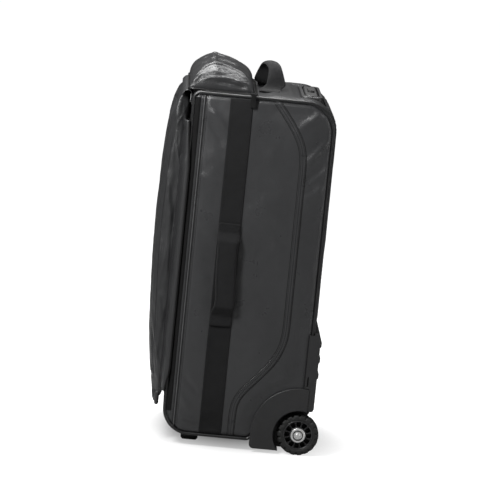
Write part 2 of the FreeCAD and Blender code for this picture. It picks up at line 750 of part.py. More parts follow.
def bezel():
    """Moulded cup in the top end that the grip sinks into; it seats the fixed tubes."""
    hx, hy = bezel_half
    block = rounded_rect_z(tube_x, 0, 2 * hx, 2 * hy, 12, bezel_z0, bezel_z1)
    block = block.makeFillet(3, [e for e in block.Edges if e.BoundBox.ZMin > bezel_z1 - 0.01])
    cup = rounded_rect_z(tube_x, 0, 2 * grip_half[0] + 6, 2 * grip_half[1] + 6, 13, grip_z0 - 1, bezel_z1 + 1)
    block = block.cut(cup)
    wx, wy = stage_size(0)
    mx, my = stage_size(1)
    for side in (-1, 1):
        seat = rounded_rect_z(tube_x, side * tube_y, wx, wy, tube_corner, bezel_z0 - 1, outer_top)
        way = rounded_rect_z(tube_x, side * tube_y, mx + 0.8, my + 0.8, stage_corner(1) + 0.4, bezel_z0, bezel_z1)
        block = block.cut(seat).cut(way)
        block = block.cut(Part.makeCylinder(1.6, 14, V(tube_x, side * (hy - 7), bezel_z1 - 13)))
    return block


def bezel_screws():
    screws = []
    for side in (-1, 1):
        screws.append(screw(V(tube_x, side * (bezel_half[1] - 7), bezel_z1), V(0, 0, -1), 3.4, 1.6, 1.6, 12))
    return screws


def tube_bracket():
    """Moulded shoe at the foot of the fixed tubes, screwed to the back board."""
    wx, wy = stage_size(0)
    z0 = tube_bottom_z - 12
    shoe = box(back_board_x + gap, tube_x + wx / 2 + 4, -tube_y - 22, tube_y + 22, z0, z0 + 26)
    for side in (-1, 1):
        shoe = shoe.cut(rounded_rect_z(tube_x, side * tube_y, wx, wy, tube_corner, tube_bottom_z, z0 + 30))
    middle = box(back_board_x + 6, tube_x + wx, -tube_y + 22, tube_y - 22, z0 - 1, z0 + 30)
    return shoe.cut(middle)


# ---- make every node ----------------------------------------------------------------------
def write_pairs():
    pairs = {
        "side_panel": side_panel(), "piping": piping(), "side_strap": side_strap(),
        "side_handle": side_handle(), "wheel_housing": wheel_housing(), "tyre": tyre(),
        "wheel_rim": wheel_rim(), "hub_cap": hub_cap(), "axle_bolt": axle_bolt(), "foot": foot(),
        "wheel_bearings": Part.makeCompound(wheel_bearings()), "main_zip_slider": zip_slider_main(),
    }
    for name, shape in pairs.items():
        export(name + "_left", shape)
        export(name + "_right", mirrored(shape))


def write_singles():
    sides = (-1, 1)
    singles = {
        "gusset": gusset(), "front_panel": front_panel(), "base_board": base_board(),
        "back_board": back_board(), "top_handle": top_handle(), "lid_pad": lid_pad(),
        "lid_hem": lid_hem(), "lid_tab": lid_tab(), "main_zip_tape": zip_tape_main(),
        "end_pocket": end_pocket(), "pocket_zip_tape": zip_tape_pocket(),
        "pocket_zip_slider": pocket_slider(), "pocket_zip_pull": pocket_pull(),
        "kick_plate": kick_plate(), "kick_plate_screws": Part.makeCompound(kick_screws()),
        "foot_screws": Part.makeCompound(foot_screws()), "grip": grip(), "release_button": release_button(),
        "bezel": bezel(), "bezel_screws": Part.makeCompound(bezel_screws()), "tube_bracket": tube_bracket(),
        "push_rods": Part.makeCompound([push_rod(s) for s in sides]),
        "latch_bolts": Part.makeCompound([latch_bolt(s) for s in sides]),
        "tube_plugs": Part.makeCompound([tube_plug(s) for s in sides]),
        "release_springs": Part.makeCompound([release_spring(s) for s in sides]),
    }
    screws = housing_screws()
    singles["housing_screws"] = Part.makeCompound(screws + [mirrored(s) for s in screws])
    for name, shape in singles.items():
        export(name, shape)
    for side, word in ((1, "left"), (-1, "right")):
        export("outer_tube_" + word, outer_tube(side))
        export("mid_tube_" + word, mid_tube(side))
        export("inner_tube_" + word, inner_tube(side))


write_pairs()
write_singles()
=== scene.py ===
import bmesh
import bpy
import json
import math
import numpy as np
from mathutils import Matrix, Quaternion, Vector, noise
from mathutils.bvhtree import BVHTree


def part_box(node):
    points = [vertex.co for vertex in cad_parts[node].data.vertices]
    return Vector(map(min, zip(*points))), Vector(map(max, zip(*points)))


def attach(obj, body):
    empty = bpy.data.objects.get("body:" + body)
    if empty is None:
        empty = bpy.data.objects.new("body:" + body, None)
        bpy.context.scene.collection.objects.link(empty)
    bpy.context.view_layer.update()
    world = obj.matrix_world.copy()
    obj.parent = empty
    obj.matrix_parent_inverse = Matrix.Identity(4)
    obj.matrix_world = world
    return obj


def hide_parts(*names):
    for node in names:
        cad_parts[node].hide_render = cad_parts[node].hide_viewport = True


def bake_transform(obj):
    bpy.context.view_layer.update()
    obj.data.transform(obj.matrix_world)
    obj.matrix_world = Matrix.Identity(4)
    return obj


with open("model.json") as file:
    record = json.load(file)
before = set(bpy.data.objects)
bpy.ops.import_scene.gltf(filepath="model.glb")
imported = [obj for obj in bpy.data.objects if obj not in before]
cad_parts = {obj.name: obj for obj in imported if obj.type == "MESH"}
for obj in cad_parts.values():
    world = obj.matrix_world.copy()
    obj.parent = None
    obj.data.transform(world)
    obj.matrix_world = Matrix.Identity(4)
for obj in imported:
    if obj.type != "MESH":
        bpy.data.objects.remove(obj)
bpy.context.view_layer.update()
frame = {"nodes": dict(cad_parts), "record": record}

nodes = frame["nodes"]

# ---- sizes read from the frame, in metres ----
body_lo, body_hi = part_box("gusset")
FRONT, BACK = body_lo.x, body_hi.x
BOTTOM, TOP = body_lo.z, body_hi.z
HALF_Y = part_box("side_panel_left")[1].y
strap_lo, strap_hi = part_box("side_strap_left")
STRAP_X = (strap_lo.x + strap_hi.x) / 2
STRAP_W = strap_hi.x - strap_lo.x
grip_lo, grip_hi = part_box("side_handle_left")
wheel_lo, wheel_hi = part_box("tyre_left")
AXLE_X = (wheel_lo.x + wheel_hi.x) / 2
AXLE_Z = (wheel_lo.z + wheel_hi.z) / 2
lid_lo, lid_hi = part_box("lid_pad")
pocket_lo, pocket_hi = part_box("end_pocket")
bezel_lo, bezel_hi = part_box("bezel")
kick_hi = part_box("kick_plate")[1]

# ---- sizes of the soft parts, in metres ----
CORNER_BACK_TOP = 0.065
CORNER_FRONT_BOTTOM = 0.055
CORNER_FRONT_TOP = 0.016
CORNER_WHEEL = 0.008
WHEEL_CUT = 0.114               # legs of the cut at the wheels
PIPING_R = 0.0031
SEAM_X = FRONT + 0.0245         # straight seam near the front of the side panel
THREAD_R = 0.00058
STITCH_PITCH = 0.0042
STITCH_LIFT = 0.0002            # middle of a thread above the cloth
SEAM_STEP = 0.0035              # between the points of a seam line
WEBBING_T = 0.0018
SIDE_T = 0.0022
WALL_T = 0.0024


# ---- mesh helpers ----
def add_object(name, verts, faces, material, body, smooth=True, uv=True):
    mesh = bpy.data.meshes.new(name)
    mesh.from_pydata([tuple(v) for v in verts], [], [tuple(f) for f in faces])
    mesh.validate()
    obj = bpy.data.objects.new(name, mesh)
    bpy.context.scene.collection.objects.link(obj)
    mesh.materials.append(material)
    if smooth:
        mesh.shade_smooth()
    if uv:
        metric_uv(mesh)
    if body:
        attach(obj, body)
    return obj


def vertex_rows(mesh, what):
    """Places ("co") or normals ("normal") of a mesh's vertices, one row each."""
    rows = np.empty(len(mesh.vertices) * 3)
    mesh.vertices.foreach_get(what, rows)
    return rows.reshape(-1, 3)


def metric_uv(mesh):
    """Box-projected UV in metres, so that weaves keep their real size on every piece."""
    layer = mesh.uv_layers.new(name="metric")
    normals = np.empty(len(mesh.polygons) * 3)
    mesh.polygons.foreach_get("normal", normals)
    dominant = np.abs(normals.reshape(-1, 3)).argmax(1)
    totals = np.empty(len(mesh.polygons), int)
    mesh.polygons.foreach_get("loop_total", totals)
    loops = np.empty(len(mesh.loops), int)
    mesh.loops.foreach_get("vertex_index", loops)
    axis = np.repeat(dominant, totals)
    point = vertex_rows(mesh, "co")[loops]
    u = np.where(axis == 0, point[:, 1], point[:, 0])
    v = np.where(axis == 2, point[:, 1], point[:, 2])
    layer.data.foreach_set("uv", np.column_stack([u, v]).ravel())


def grid_faces(rows, cols, close_rows=False, close_cols=False, flip=False):
    faces = []
    for i in range(rows if close_rows else rows - 1):
        for j in range(cols if close_cols else cols - 1):
            a = i * cols + j
            b = i * cols + (j + 1) % cols
            c = ((i + 1) % rows) * cols + (j + 1) % cols
            d = ((i + 1) % rows) * cols + j
            faces.append((a, d, c, b) if flip else (a, b, c, d))
    return faces


def end_caps(count, sides):
    """Faces that close the first and the last ring of a tube."""
    return [tuple(range(sides)), tuple(reversed(range((count - 1) * sides, count * sides)))]


def recalc_normals(obj):
    fix = bmesh.new()
    fix.from_mesh(obj.data)
    bmesh.ops.recalc_face_normals(fix, faces=fix.faces)
    fix.to_mesh(obj.data)
    fix.free()


def modifier(obj, kind, **settings):
    m = obj.modifiers.new(kind.title(), kind)
    for key, value in settings.items():
        setattr(m, key, value)
    return m


def smooth01(t):
    t = np.clip(t, 0.0, 1.0)
    return t * t * (3 - 2 * t)


def turns(count):
    """Evenly spaced angles of a full turn."""
    return [2 * math.pi * k / count for k in range(count)]


def power(value, exponent):
    """The size of value raised to the exponent, with the sign kept."""
    return math.copysign(abs(value) ** exponent, value)


def unit(rows):
    return rows / np.linalg.norm(rows, axis=1)[:, None]


def sideways(line):
    """Unit directions square to a flat line, one for each point."""
    d = unit(np.gradient(line, axis=0))
    return np.column_stack([d[:, 1], -d[:, 0]])


def at_x(x, flat):
    """Points in Y and Z, placed in the plane at x."""
    return np.column_stack([np.full(len(flat), x), flat])


def arc_points(cx, cz, r, start, end, count):
    angles = [start + (end - start) * i / count for i in range(count + 1)]
    return [(cx + r * math.cos(a), cz + r * math.sin(a)) for a in angles]


def corner_arc(prev, corner, nxt, r, count):
    """Points of the arc that rounds one corner of an outline in X and Z."""
    c = Vector(corner)
    a = (Vector(prev) - c).normalized()
    b = (Vector(nxt) - c).normalized()
    half = a.angle(b) / 2
    start = c + a * (r / math.tan(half))
    end = c + b * (r / math.tan(half))
    centre = c + (a + b).normalized() * (r / math.sin(half))
    v0 = start - centre
    v1 = end - centre
    sweep = v0.angle_signed(v1)
    pts = []
    for i in range(count + 1):
        v = v0.copy()
        v.rotate(Matrix.Rotation(-sweep * i / count, 2))
        pts.append(tuple(centre + v))
    return pts


def side_outline(inset, count=10):
    """Closed outline of the bag from the side, shrunk by inset, from the front bottom corner."""
    x0, x1 = FRONT + inset, BACK - inset
    z0, z1 = BOTTOM + inset, TOP - inset
    cut = WHEEL_CUT - inset * (2 - math.sqrt(2))
    corners = [
        ((x0, z0), CORNER_FRONT_BOTTOM - inset),
        ((x1 - cut, z0), CORNER_WHEEL), ((x1, z0 + cut), CORNER_WHEEL),
        ((x1, z1), CORNER_BACK_TOP - inset), ((x0, z1), CORNER_FRONT_TOP - inset),
    ]
    pts = []
    for i, (corner, r) in enumerate(corners):
        after = corners[(i + 1) % len(corners)][0]
        pts += corner_arc(corners[i - 1][0], corner, after, max(r, 0.002), count)
    return pts


def distances(pts):
    """Distance of each point from the start of the line, measured along it."""
    return np.r_[0, np.cumsum(np.linalg.norm(np.diff(pts, axis=0), axis=1))]


def total_length(pts):
    return float(np.linalg.norm(np.diff(pts, axis=0), axis=1).sum())


def resample(points, step, closed=True):
    """Evenly spaced points along a polyline."""
    pts = np.array(points, float)
    if closed:
        pts = np.vstack([pts, pts[:1]])
    lengths = distances(pts)
    count = max(3, int(round(lengths[-1] / step)))
    at = np.linspace(0, lengths[-1], count + 1)
    if closed:
        at = at[:-1]
    return np.column_stack([np.interp(at, lengths, pts[:, k]) for k in range(pts.shape[1])])


def outline_limits(inset, z):
    """Front and back X of the outline at heights z."""
    pts = resample(side_outline(inset, 24), 0.001)
    mid = (FRONT + BACK) / 2 - 0.06
    left = pts[pts[:, 0] < mid]
    right = pts[pts[:, 0] >= mid]
    left = left[np.argsort(left[:, 1])]
    right = right[np.argsort(right[:, 1])]
    return np.interp(z, left[:, 1], left[:, 0]), np.interp(z, right[:, 1], right[:, 0])


# ---- materials ----
WAVE_SCALE = 0.314              # the wave node's scale for ribs one metre apart


class Look:
    """A node material with one Principled shader, and short calls for its usual textures."""

    def __init__(self, name, color, roughness=0.6, **sockets):
        self.mat = bpy.data.materials.new(name)
        self.mat.use_nodes = True
        self.tree = self.mat.node_tree
        self.shader = self.tree.nodes["Principled BSDF"]
        self.shader.inputs["Base Color"].default_value = (*color, 1)
        self.shader.inputs["Roughness"].default_value = roughness
        for key, value in sockets.items():
            self.shader.inputs[key.replace("_", " ")].default_value = value
        self.color = color
        self.bump_in = None

    def node(self, kind, **props):
        n = self.tree.nodes.new("ShaderNode" + kind)
        for key, value in props.items():
            setattr(n, key, value)
        return n

    def link(self, a, b):
        self.tree.links.new(a, b)

    def coords(self, kind="Object", scale=(1, 1, 1), turn=(0, 0, 0)):
        source = self.node("UVMap", uv_map="metric") if kind == "UV" else self.node("TexCoord")
        mapping = self.node("Mapping")
        mapping.inputs["Scale"].default_value = scale
        mapping.inputs["Rotation"].default_value = turn
        self.link(source.outputs["UV" if kind == "UV" else kind], mapping.inputs["Vector"])
        return mapping.outputs["Vector"]

    def noise(self, scale, detail=3.0, rough=0.55, stretch=(1, 1, 1)):
        n = self.node("TexNoise")
        n.inputs["Scale"].default_value = scale
        n.inputs["Detail"].default_value = detail
        n.inputs["Roughness"].default_value = rough
        self.link(self.coords(scale=stretch), n.inputs["Vector"])
        return n.outputs["Fac"]

    def wave(self, pitch, axis="X", turn=0.0):
        """Sine ribs with the given pitch in metres."""
        n = self.node("TexWave", wave_type="BANDS", bands_direction=axis)
        n.inputs["Scale"].default_value = WAVE_SCALE / pitch
        n.inputs["Distortion"].default_value = 0.0
        n.inputs["Detail"].default_value = 0.0
        self.link(self.coords("UV", turn=(0, 0, turn)), n.inputs["Vector"])
        return n.outputs["Fac"]

    def mix_value(self, kind, a, b):
        n = self.node("Math", operation=kind)
        self.link(a, n.inputs[0])
        self.link(b, n.inputs[1])
        return n.outputs[0]

    def tint(self, fac, dark, light):
        """Base colour that varies between dark and light times the look's own colour."""
        n = self.node("Mix", data_type="RGBA")
        n.inputs[6].default_value = (*[c * dark for c in self.color], 1)
        n.inputs[7].default_value = (*[c * light for c in self.color], 1)
        self.link(fac, n.inputs[0])
        self.link(n.outputs[2], self.shader.inputs["Base Color"])

    def rough(self, fac, low, high):
        n = self.node("MapRange")
        n.inputs["To Min"].default_value = low
        n.inputs["To Max"].default_value = high
        self.link(fac, n.inputs["Value"])
        self.link(n.outputs["Result"], self.shader.inputs["Roughness"])

    def bump(self, height, distance, strength):
        n = self.node("Bump")
        n.inputs["Distance"].default_value = distance
        n.inputs["Strength"].default_value = strength
        self.link(height, n.inputs["Height"])
        if self.bump_in is not None:
            self.link(self.bump_in, n.inputs["Normal"])
        self.bump_in = n.outputs["Normal"]
        self.link(self.bump_in, self.shader.inputs["Normal"])


def noisy_look(name, color, roughness, specular, tint, rough=None, bump=None):
    """Tint, roughness and bump, each given as (noise settings, two values)."""
    look = Look(name, color, roughness, Specular_IOR_Level=specular)
    look.tint(look.noise(*tint[0]), *tint[1:])
    if rough:
        look.rough(look.noise(*rough[0]), *rough[1:])
    if bump:
        look.bump(look.noise(*bump[0]), *bump[1:])
    return look.mat


def coated_cloth(name, color, roughness, gloss_spread=0.1):
    """Coated tarpaulin: faint square weave under a smooth film, with soft handling marks."""
    look = Look(name, color, roughness, Specular_IOR_Level=0.45)
    look.tint(look.noise(9.0, 5.0, 0.6), 0.82, 1.2)
    gloss = look.noise(24.0, 4.0, 0.6)
    look.rough(gloss, roughness - gloss_spread, roughness + gloss_spread)
    look.bump(look.noise(70.0, 4.0, 0.6), 0.0006, 0.5)
    square = look.mix_value("ADD", look.wave(0.0011, "X"), look.wave(0.0011, "Y"))
    look.bump(square, 0.00012, 0.6)
    return look.mat


def woven_webbing(name, color, rib=0.0016):
    """Heavy webbing: cross ribs broken into a herringbone of raised yarns."""
    look = Look(name, color, 0.78, Sheen_Weight=0.06, Sheen_Roughness=0.5, Specular_IOR_Level=0.18)
    look.tint(look.noise(60.0, 4.0, 0.65), 0.7, 1.5)
    yarn = look.mix_value("MULTIPLY", look.wave(rib, "X", turn=0.7), look.wave(rib, "Y", turn=0.7))
    look.bump(yarn, 0.0004, 0.9)
    look.bump(look.noise(900.0, 2.0), 0.0001, 0.5)
    return look.mat


def moulded_plastic(name, color, roughness, grain=0.00012):
    """Spark-eroded moulding texture with light scuffing."""
    scuffs = ((50.0, 6.0, 0.7), roughness - 0.1, roughness + 0.12)
    return noisy_look(name, color, roughness, 0.45, ((35.0, 6.0, 0.7), 0.8, 1.3), scuffs,
                      ((1400.0, 3.0, 0.6), grain, 0.7))


def metal(name, color, roughness, brushed=None):
    look = Look(name, color, roughness, Metallic=1.0)
    look.rough(look.noise(60.0, 5.0, 0.6), roughness - 0.06, roughness + 0.1)
    look.tint(look.noise(20.0, 4.0), 0.9, 1.08)
    if brushed:
        look.bump(look.noise(300.0, 3.0, 0.6, stretch=brushed), 0.00003, 0.5)
    return look.mat


side_cloth = coated_cloth("side_cloth_look", (0.025, 0.0253, 0.0263), 0.3, 0.08)
wrap_cloth = coated_cloth("wrap_cloth_look", (0.017, 0.0172, 0.018), 0.36, 0.06)
lid_cloth = coated_cloth("lid_cloth_look", (0.0165, 0.0168, 0.0175), 0.42, 0.09)
pocket_cloth = coated_cloth("pocket_cloth_look", (0.02, 0.0202, 0.021), 0.3, 0.05)
webbing = woven_webbing("webbing_look", (0.0042, 0.0042, 0.0045))
lining = coated_cloth("lining_look", (0.05, 0.052, 0.056), 0.62)


thread = noisy_look("thread_look", (0.0045, 0.0045, 0.0048), 0.7, 0.2, ((700.0, 2.0), 0.7, 1.4))
piping_mat = noisy_look("piping_look", (0.006, 0.006, 0.0063), 0.32, 0.5, ((80.0, 4.0), 0.8, 1.3),
                        ((40.0, 4.0), 0.3, 0.48), ((500.0, 3.0), 0.0002, 0.5))
rubber = noisy_look("rubber_look", (0.009, 0.009, 0.009), 0.62, 0.35, ((90.0, 6.0, 0.7), 0.7, 1.8),
                    ((70.0, 5.0), 0.5, 0.78), ((900.0, 4.0, 0.7), 0.00025, 0.6))
moulding = moulded_plastic("moulding_look", (0.014, 0.014, 0.0145), 0.46)
soft_grip = moulded_plastic("grip_look", (0.012, 0.012, 0.012), 0.55, 0.00016)
board_mat = moulded_plastic("board_look", (0.045, 0.045, 0.047), 0.5, 0.00008)
bush_mat = moulded_plastic("bush_look", (0.3, 0.3, 0.29), 0.4, 0.00004)
rim_mat = moulded_plastic("rim_look", (0.01, 0.01, 0.01), 0.36, 0.00006)
cap_mat = metal("cap_look", (0.88, 0.88, 0.87), 0.36)
steel_mat = metal("steel_look", (0.58, 0.58, 0.59), 0.3, (1, 1, 0.05))
tube_mat = metal("tube_look", (0.3, 0.3, 0.31), 0.34, (1, 1, 0.02))
screw_mat = metal("screw_look", (0.05, 0.05, 0.05), 0.35)
lacquer = metal("lacquer_look", (0.06, 0.06, 0.06), 0.32)
# Black tape look, made near-black so that on the front edges it also paints the shade behind the lid.
tape_and_shade_mat = woven_webbing("tape_and_shade_look", (0.0009, 0.0009, 0.001), 0.0009)

cad_looks = {
    "moulding": moulding, "board": board_mat, "bearing": bush_mat, "steel": steel_mat,
    "tube": tube_mat, "black_screw": screw_mat, "zip_metal": lacquer, "grip": soft_grip,
    "tyre": rubber, "rim": rim_mat, "hub_cap": cap_mat, "side_cloth": side_cloth,
    "wrap_cloth": wrap_cloth, "lid_cloth": lid_cloth, "pocket_cloth": pocket_cloth,
    "webbing": webbing, "piping": piping_mat, "zip_tape": tape_and_shade_mat,
}
for part in frame["record"]["subparts"]:
    node = nodes[part["node"]]
    node.data.materials.clear()
    node.data.materials.append(cad_looks[part["material_slot"]])


# ---- soft surfaces ----
HOUSING_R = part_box("wheel_housing_left")[1].z - AXLE_Z
SIDES = ((1, "left"), (-1, "right"))


def noise_at(points, size, seed=0.0):
    """Smooth noise from about -1 to 1, with bumps of about the given size in metres."""
    k = 1.0 / size
    return np.array([noise.noise(Vector((p[0] * k + seed, p[1] * k - seed, p[2] * k + 2 * seed)))
                     for p in np.asarray(points)])


def smoothed(points, rounds, closed=False):
    """A polyline with its corners relaxed; open ends stay where they are."""
    pts = np.array(points, float)
    for _ in range(rounds):
        moved = (np.roll(pts, 1, 0) + 2 * pts + np.roll(pts, -1, 0)) / 4
        if not closed:
            moved[0], moved[-1] = pts[0], pts[-1]
        pts = moved
    return pts


def crease(x, z, start, end, width, height):
    """A soft fold between two points of a side wall, fading at both ends."""
    a = np.array(start)
    d = np.array(end) - a
    length = np.hypot(*d)
    t = ((x - a[0]) * d[0] + (z - a[1]) * d[1]) / length ** 2
    off = ((z - a[1]) * d[0] - (x - a[0]) * d[1]) / length
    ends = smooth01(3 * t + 0.3), smooth01(3 * (1 - t) + 0.3)
    return height * np.exp(-(off / width) ** 2) * ends[0] * ends[1]


FOLD_DEPTH = 1.6                # factor on the height of every fold of the side walls
SIDE_CREASES = [
    ((0.102, 0.596), (0.146, 0.652), 0.008, 0.0019),
    ((0.101, 0.56), (0.147, 0.604), 0.0065, -0.0014),
    ((0.103, 0.522), (0.147, 0.556), 0.009, 0.0014),
    ((0.085, 0.672), (0.128, 0.706), 0.007, 0.0015),
    ((0.102, 0.47), (0.146, 0.492), 0.008, -0.0009),
    ((-0.098, 0.692), (-0.064, 0.657), 0.005, 0.0016),
    ((-0.104, 0.676), (-0.066, 0.622), 0.006, -0.001),
    ((-0.124, 0.714), (-0.13, 0.682), 0.0032, 0.0016),
    ((-0.108, 0.56), (-0.068, 0.535), 0.008, 0.0009),
    ((-0.106, 0.33), (-0.07, 0.352), 0.009, 0.0008),
    ((-0.118, 0.12), (-0.084, 0.078), 0.007, 0.0016),
    ((-0.106, 0.15), (-0.07, 0.112), 0.006, -0.0011), ((-0.1, 0.06), (-0.066, 0.052), 0.005, 0.001),
    ((0.02, 0.18), (0.06, 0.235), 0.014, 0.001), ((0.11, 0.3), (0.146, 0.33), 0.009, 0.0009),
    ((0.012, 0.52), (0.07, 0.47), 0.02, 0.0008),
]


def side_y(x, z):
    """Distance of a side wall from the middle plane, at points x and z."""
    x = np.asarray(x, float)
    z = np.asarray(z, float)
    low, high = outline_limits(2 * PIPING_R, z)
    ends = np.minimum(z - BOTTOM, TOP - z) - 2 * PIPING_R
    edge = np.minimum(np.minimum(x - low, high - x), ends)
    swell = 0.0044 * smooth01(edge / 0.055)
    folds = sum(crease(x, z, *c) for c in SIDE_CREASES)
    flat = np.column_stack([x.ravel(), np.zeros(x.size), z.ravel()])
    folds = folds + 0.0019 * noise_at(flat, 0.085, 3.0).reshape(x.shape)
    folds = folds + 0.00042 * noise_at(flat, 0.022, 7.0).reshape(x.shape)
    r = np.hypot(x - AXLE_X, z - AXLE_Z)
    clear = smooth01((r - HOUSING_R - 0.002) / 0.028)
    plate = smooth01((x - 0.112) / 0.02) * (1 - smooth01((z - kick_hi.z - 0.002) / 0.03))
    groove = 0.0014 * np.exp(-((x - SEAM_X - 0.0045) / 0.0035) ** 2)
    groove = groove + 0.0012 * np.exp(-((x - SEAM_X + 0.0055) / 0.0035) ** 2)
    tuck = 0.0034 * (1 - smooth01(edge / 0.006))
    relief = swell - groove + FOLD_DEPTH * smooth01(edge / 0.014) * folds
    return HALF_Y - 0.001 - tuck + clear * (1 - plate) * relief


def stretched_sheet(obj, width, length=None):
    """Works out a sewn one-layer panel's length from its area and width when none is given; nothing is
    done with it.
    """
    area = sum(p.area for p in obj.data.polygons)
    length = length or area / width


def line_with_cloth(obj, thickness):
    """Gives a one-layer mesh its thickness, with the lining on the inside."""
    obj.data.materials.append(lining)
    modifier(obj, "SOLIDIFY", thickness=thickness, offset=-1.0, material_offset=1,
             material_offset_rim=0)


def strip(name, rows, flip, material, body="bag"):
    """A band of cloth made from its lengthwise rows of points."""
    faces = grid_faces(len(rows[0]), len(rows), flip=flip)
    return add_object(name, np.stack(rows, 1).reshape(-1, 3), faces, material, body)


def side_wall(s, side):
    inset = 0.0046
    rows, cols = 212, 90
    zs = np.linspace(BOTTOM + inset + 0.0003, TOP - inset - 0.0003, rows)
    low, high = outline_limits(inset, zs)
    x = low[:, None] + (high - low)[:, None] * np.linspace(0, 1, cols)
    z = np.repeat(zs[:, None], cols, 1)
    verts = np.column_stack([x.ravel(), s * side_y(x, z).ravel(), z.ravel()])
    faces = grid_faces(rows, cols, flip=s > 0)
    obj = add_object("side_wall_" + side, verts, faces, side_cloth, "bag")
    line_with_cloth(obj, SIDE_T)
    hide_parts("side_panel_" + side)
    stretched_sheet(obj, float(high.max() - low.min()), float(zs[-1] - zs[0]))


def tube(name, line, radius, material, body="bag", sides=10, closed=True):
    """A round cord swept along a line of points."""
    pts = np.array(line, float)
    count = len(pts)
    tangent = unit(np.roll(pts, -1, 0) - np.roll(pts, 1, 0) if closed else np.gradient(pts, axis=0))
    radius = np.broadcast_to(radius, (count,))
    normal = np.cross(tangent[0], (0.3, 0.9, 0.2))
    verts = []
    for i in range(count):
        normal = normal - tangent[i] * normal.dot(tangent[i])
        normal /= np.linalg.norm(normal)
        side = np.cross(tangent[i], normal)
        for a in turns(sides):
            verts.append(pts[i] + radius[i] * (normal * math.cos(a) + side * math.sin(a)))
    faces = grid_faces(count, sides, close_rows=closed, close_cols=True, flip=True)
    if not closed:
        faces += end_caps(count, sides)
    return add_object(name, verts, faces, material, body)


# ---- stitching ----
STITCH_RINGS = ((-1.0, 0.45), (-0.6, 0.95), (0.0, 1.0), (0.6, 0.95), (1.0, 0.45))
STITCH_SIDES = 6
thread_parts = []


def stitch(line, up, pitch=STITCH_PITCH, radius=THREAD_R):
    """Adds one row of separate lock stitches along a line; up is the direction off the cloth."""
    pts = resample(line, pitch, closed=False)
    middle = (pts[1:] + pts[:-1]) / 2
    along = unit(pts[1:] - pts[:-1])
    up = np.broadcast_to(np.asarray(up, float), middle.shape)
    across = unit(np.cross(along, up))
    rise = np.cross(across, along)
    verts = []
    for t, fat in STITCH_RINGS:
        for a in turns(STITCH_SIDES):
            place = middle + along * (t * pitch * 0.36) - rise * (t * t * radius * 1.1)
            verts.append(place + radius * fat * (across * math.cos(a) + rise * math.sin(a)))
    thread_parts.append(np.stack(verts, 1))


def sew(name, body="bag"):
    """Makes one piece of all the stitches added since the last one."""
    blocks = np.concatenate(thread_parts)
    thread_parts.clear()
    rings, sides = len(STITCH_RINGS), STITCH_SIDES
    template = np.array(grid_faces(rings, sides, close_cols=True, flip=True))
    per = rings * sides
    faces = (template[None] + per * np.arange(len(blocks))[:, None, None]).reshape(-1, 4)
    obj = add_object(name, blocks.reshape(-1, 3), faces.tolist(), thread, body, uv=False)
    return obj


def on_side(s, line, lift):
    """Points in X and Z put on a side wall, with a lift off its cloth."""
    line = np.asarray(line, float)
    return np.column_stack([line[:, 0], s * (side_y(line[:, 0], line[:, 1]) + lift), line[:, 1]])


def offset_line(line, distance):
    """A line in X and Z moved sideways by a distance."""
    return line + distance * sideways(line)


# ---- side walls, their seams and their piping ----
BAND_PATH = [
    (0.033, 0.7195), (0.05, 0.699), (0.066, 0.678), (0.08, 0.657), (0.09, 0.637), (0.0955, 0.615),
    (0.097, 0.59), (0.097, 0.4), (0.097, 0.252), (0.093, 0.226), (0.084, 0.203), (0.071, 0.182),
    (0.05, 0.157), (0.029, 0.134), (0.014, 0.115), (0.0065, 0.096), (0.005, 0.078), (0.005, 0.0285),
]
BAND_W = 0.0125
BAND_T = 0.0013
band_line = smoothed(resample(BAND_PATH, SEAM_STEP, closed=False), 14)
seam_ends = [(SEAM_X, TOP - 0.0065), (SEAM_X, BOTTOM + 0.0105)]
seam_line = resample(seam_ends, SEAM_STEP, closed=False)
# Near-black look of the cords that paint the shade in the folds beside the seams.
seam_shade_mat = moulded_plastic("seam_shade_look", (0.0012, 0.0012, 0.0012), 0.85, 0.00002)


def shade_line(name, s, line, radius):
    """Near-black cord laid in the fold beside a seam, painting the shade that falls there."""
    shade = tube(name, on_side(s, line, 0.0001), radius, seam_shade_mat, sides=6, closed=False)


def seam_band(s, side):
    """Second layer of cloth sewn over the curved joint."""
    across = np.array([-0.5, -0.47, -0.4, -0.2, 0.0, 0.2, 0.4, 0.47, 0.5])
    lift = np.array([0.0, 0.75, 1.0, 1.0, 0.92, 1.0, 1.0, 0.75, 0.0]) * BAND_T
    rows = [on_side(s, offset_line(band_line, a * BAND_W), h - 0.0002) for a, h in zip(across, lift)]
    obj = strip("seam_band_" + side, rows, s < 0, side_cloth)
    modifier(obj, "SUBSURF", levels=1, render_levels=1)
    stretched_sheet(obj, BAND_W)
    for k, a in enumerate((-0.54, 0.54)):
        edge = offset_line(band_line, a * BAND_W)
        shade_line("seam_edge_%d_%s" % (k, side), s, edge, 0.00075)
    up = (0, s, 0)
    for a in (-0.36, 0.0, 0.36):
        stitch(on_side(s, offset_line(band_line, a * BAND_W), BAND_T + 0.0001), up)
    mark = [(0.09, 0.6165), (0.104, 0.6165)]
    stitch(on_side(s, resample(mark, 0.003, closed=False), BAND_T + 0.0001), up)


def straight_seam(s, side):
    ridge = on_side(s, seam_line, 0.0003)
    # The ridge's cloth is lighter than the side cloth, painting the highlight along the seam.
    obj = tube("front_seam_" + side, ridge, 0.00125, seam_highlight_cloth, sides=8, closed=False)
    for k, off in enumerate((-0.0022, 0.0022)):
        shade_line("seam_fold_%d_%s" % (k, side), s, seam_line + (off, 0), 0.0007)
    for off in (0.0042, 0.007):
        stitch(on_side(s, seam_line + (off, 0), STITCH_LIFT), (0, s, 0))
    stitch(on_side(s, seam_line - (0.004, 0), STITCH_LIFT), (0, s, 0))


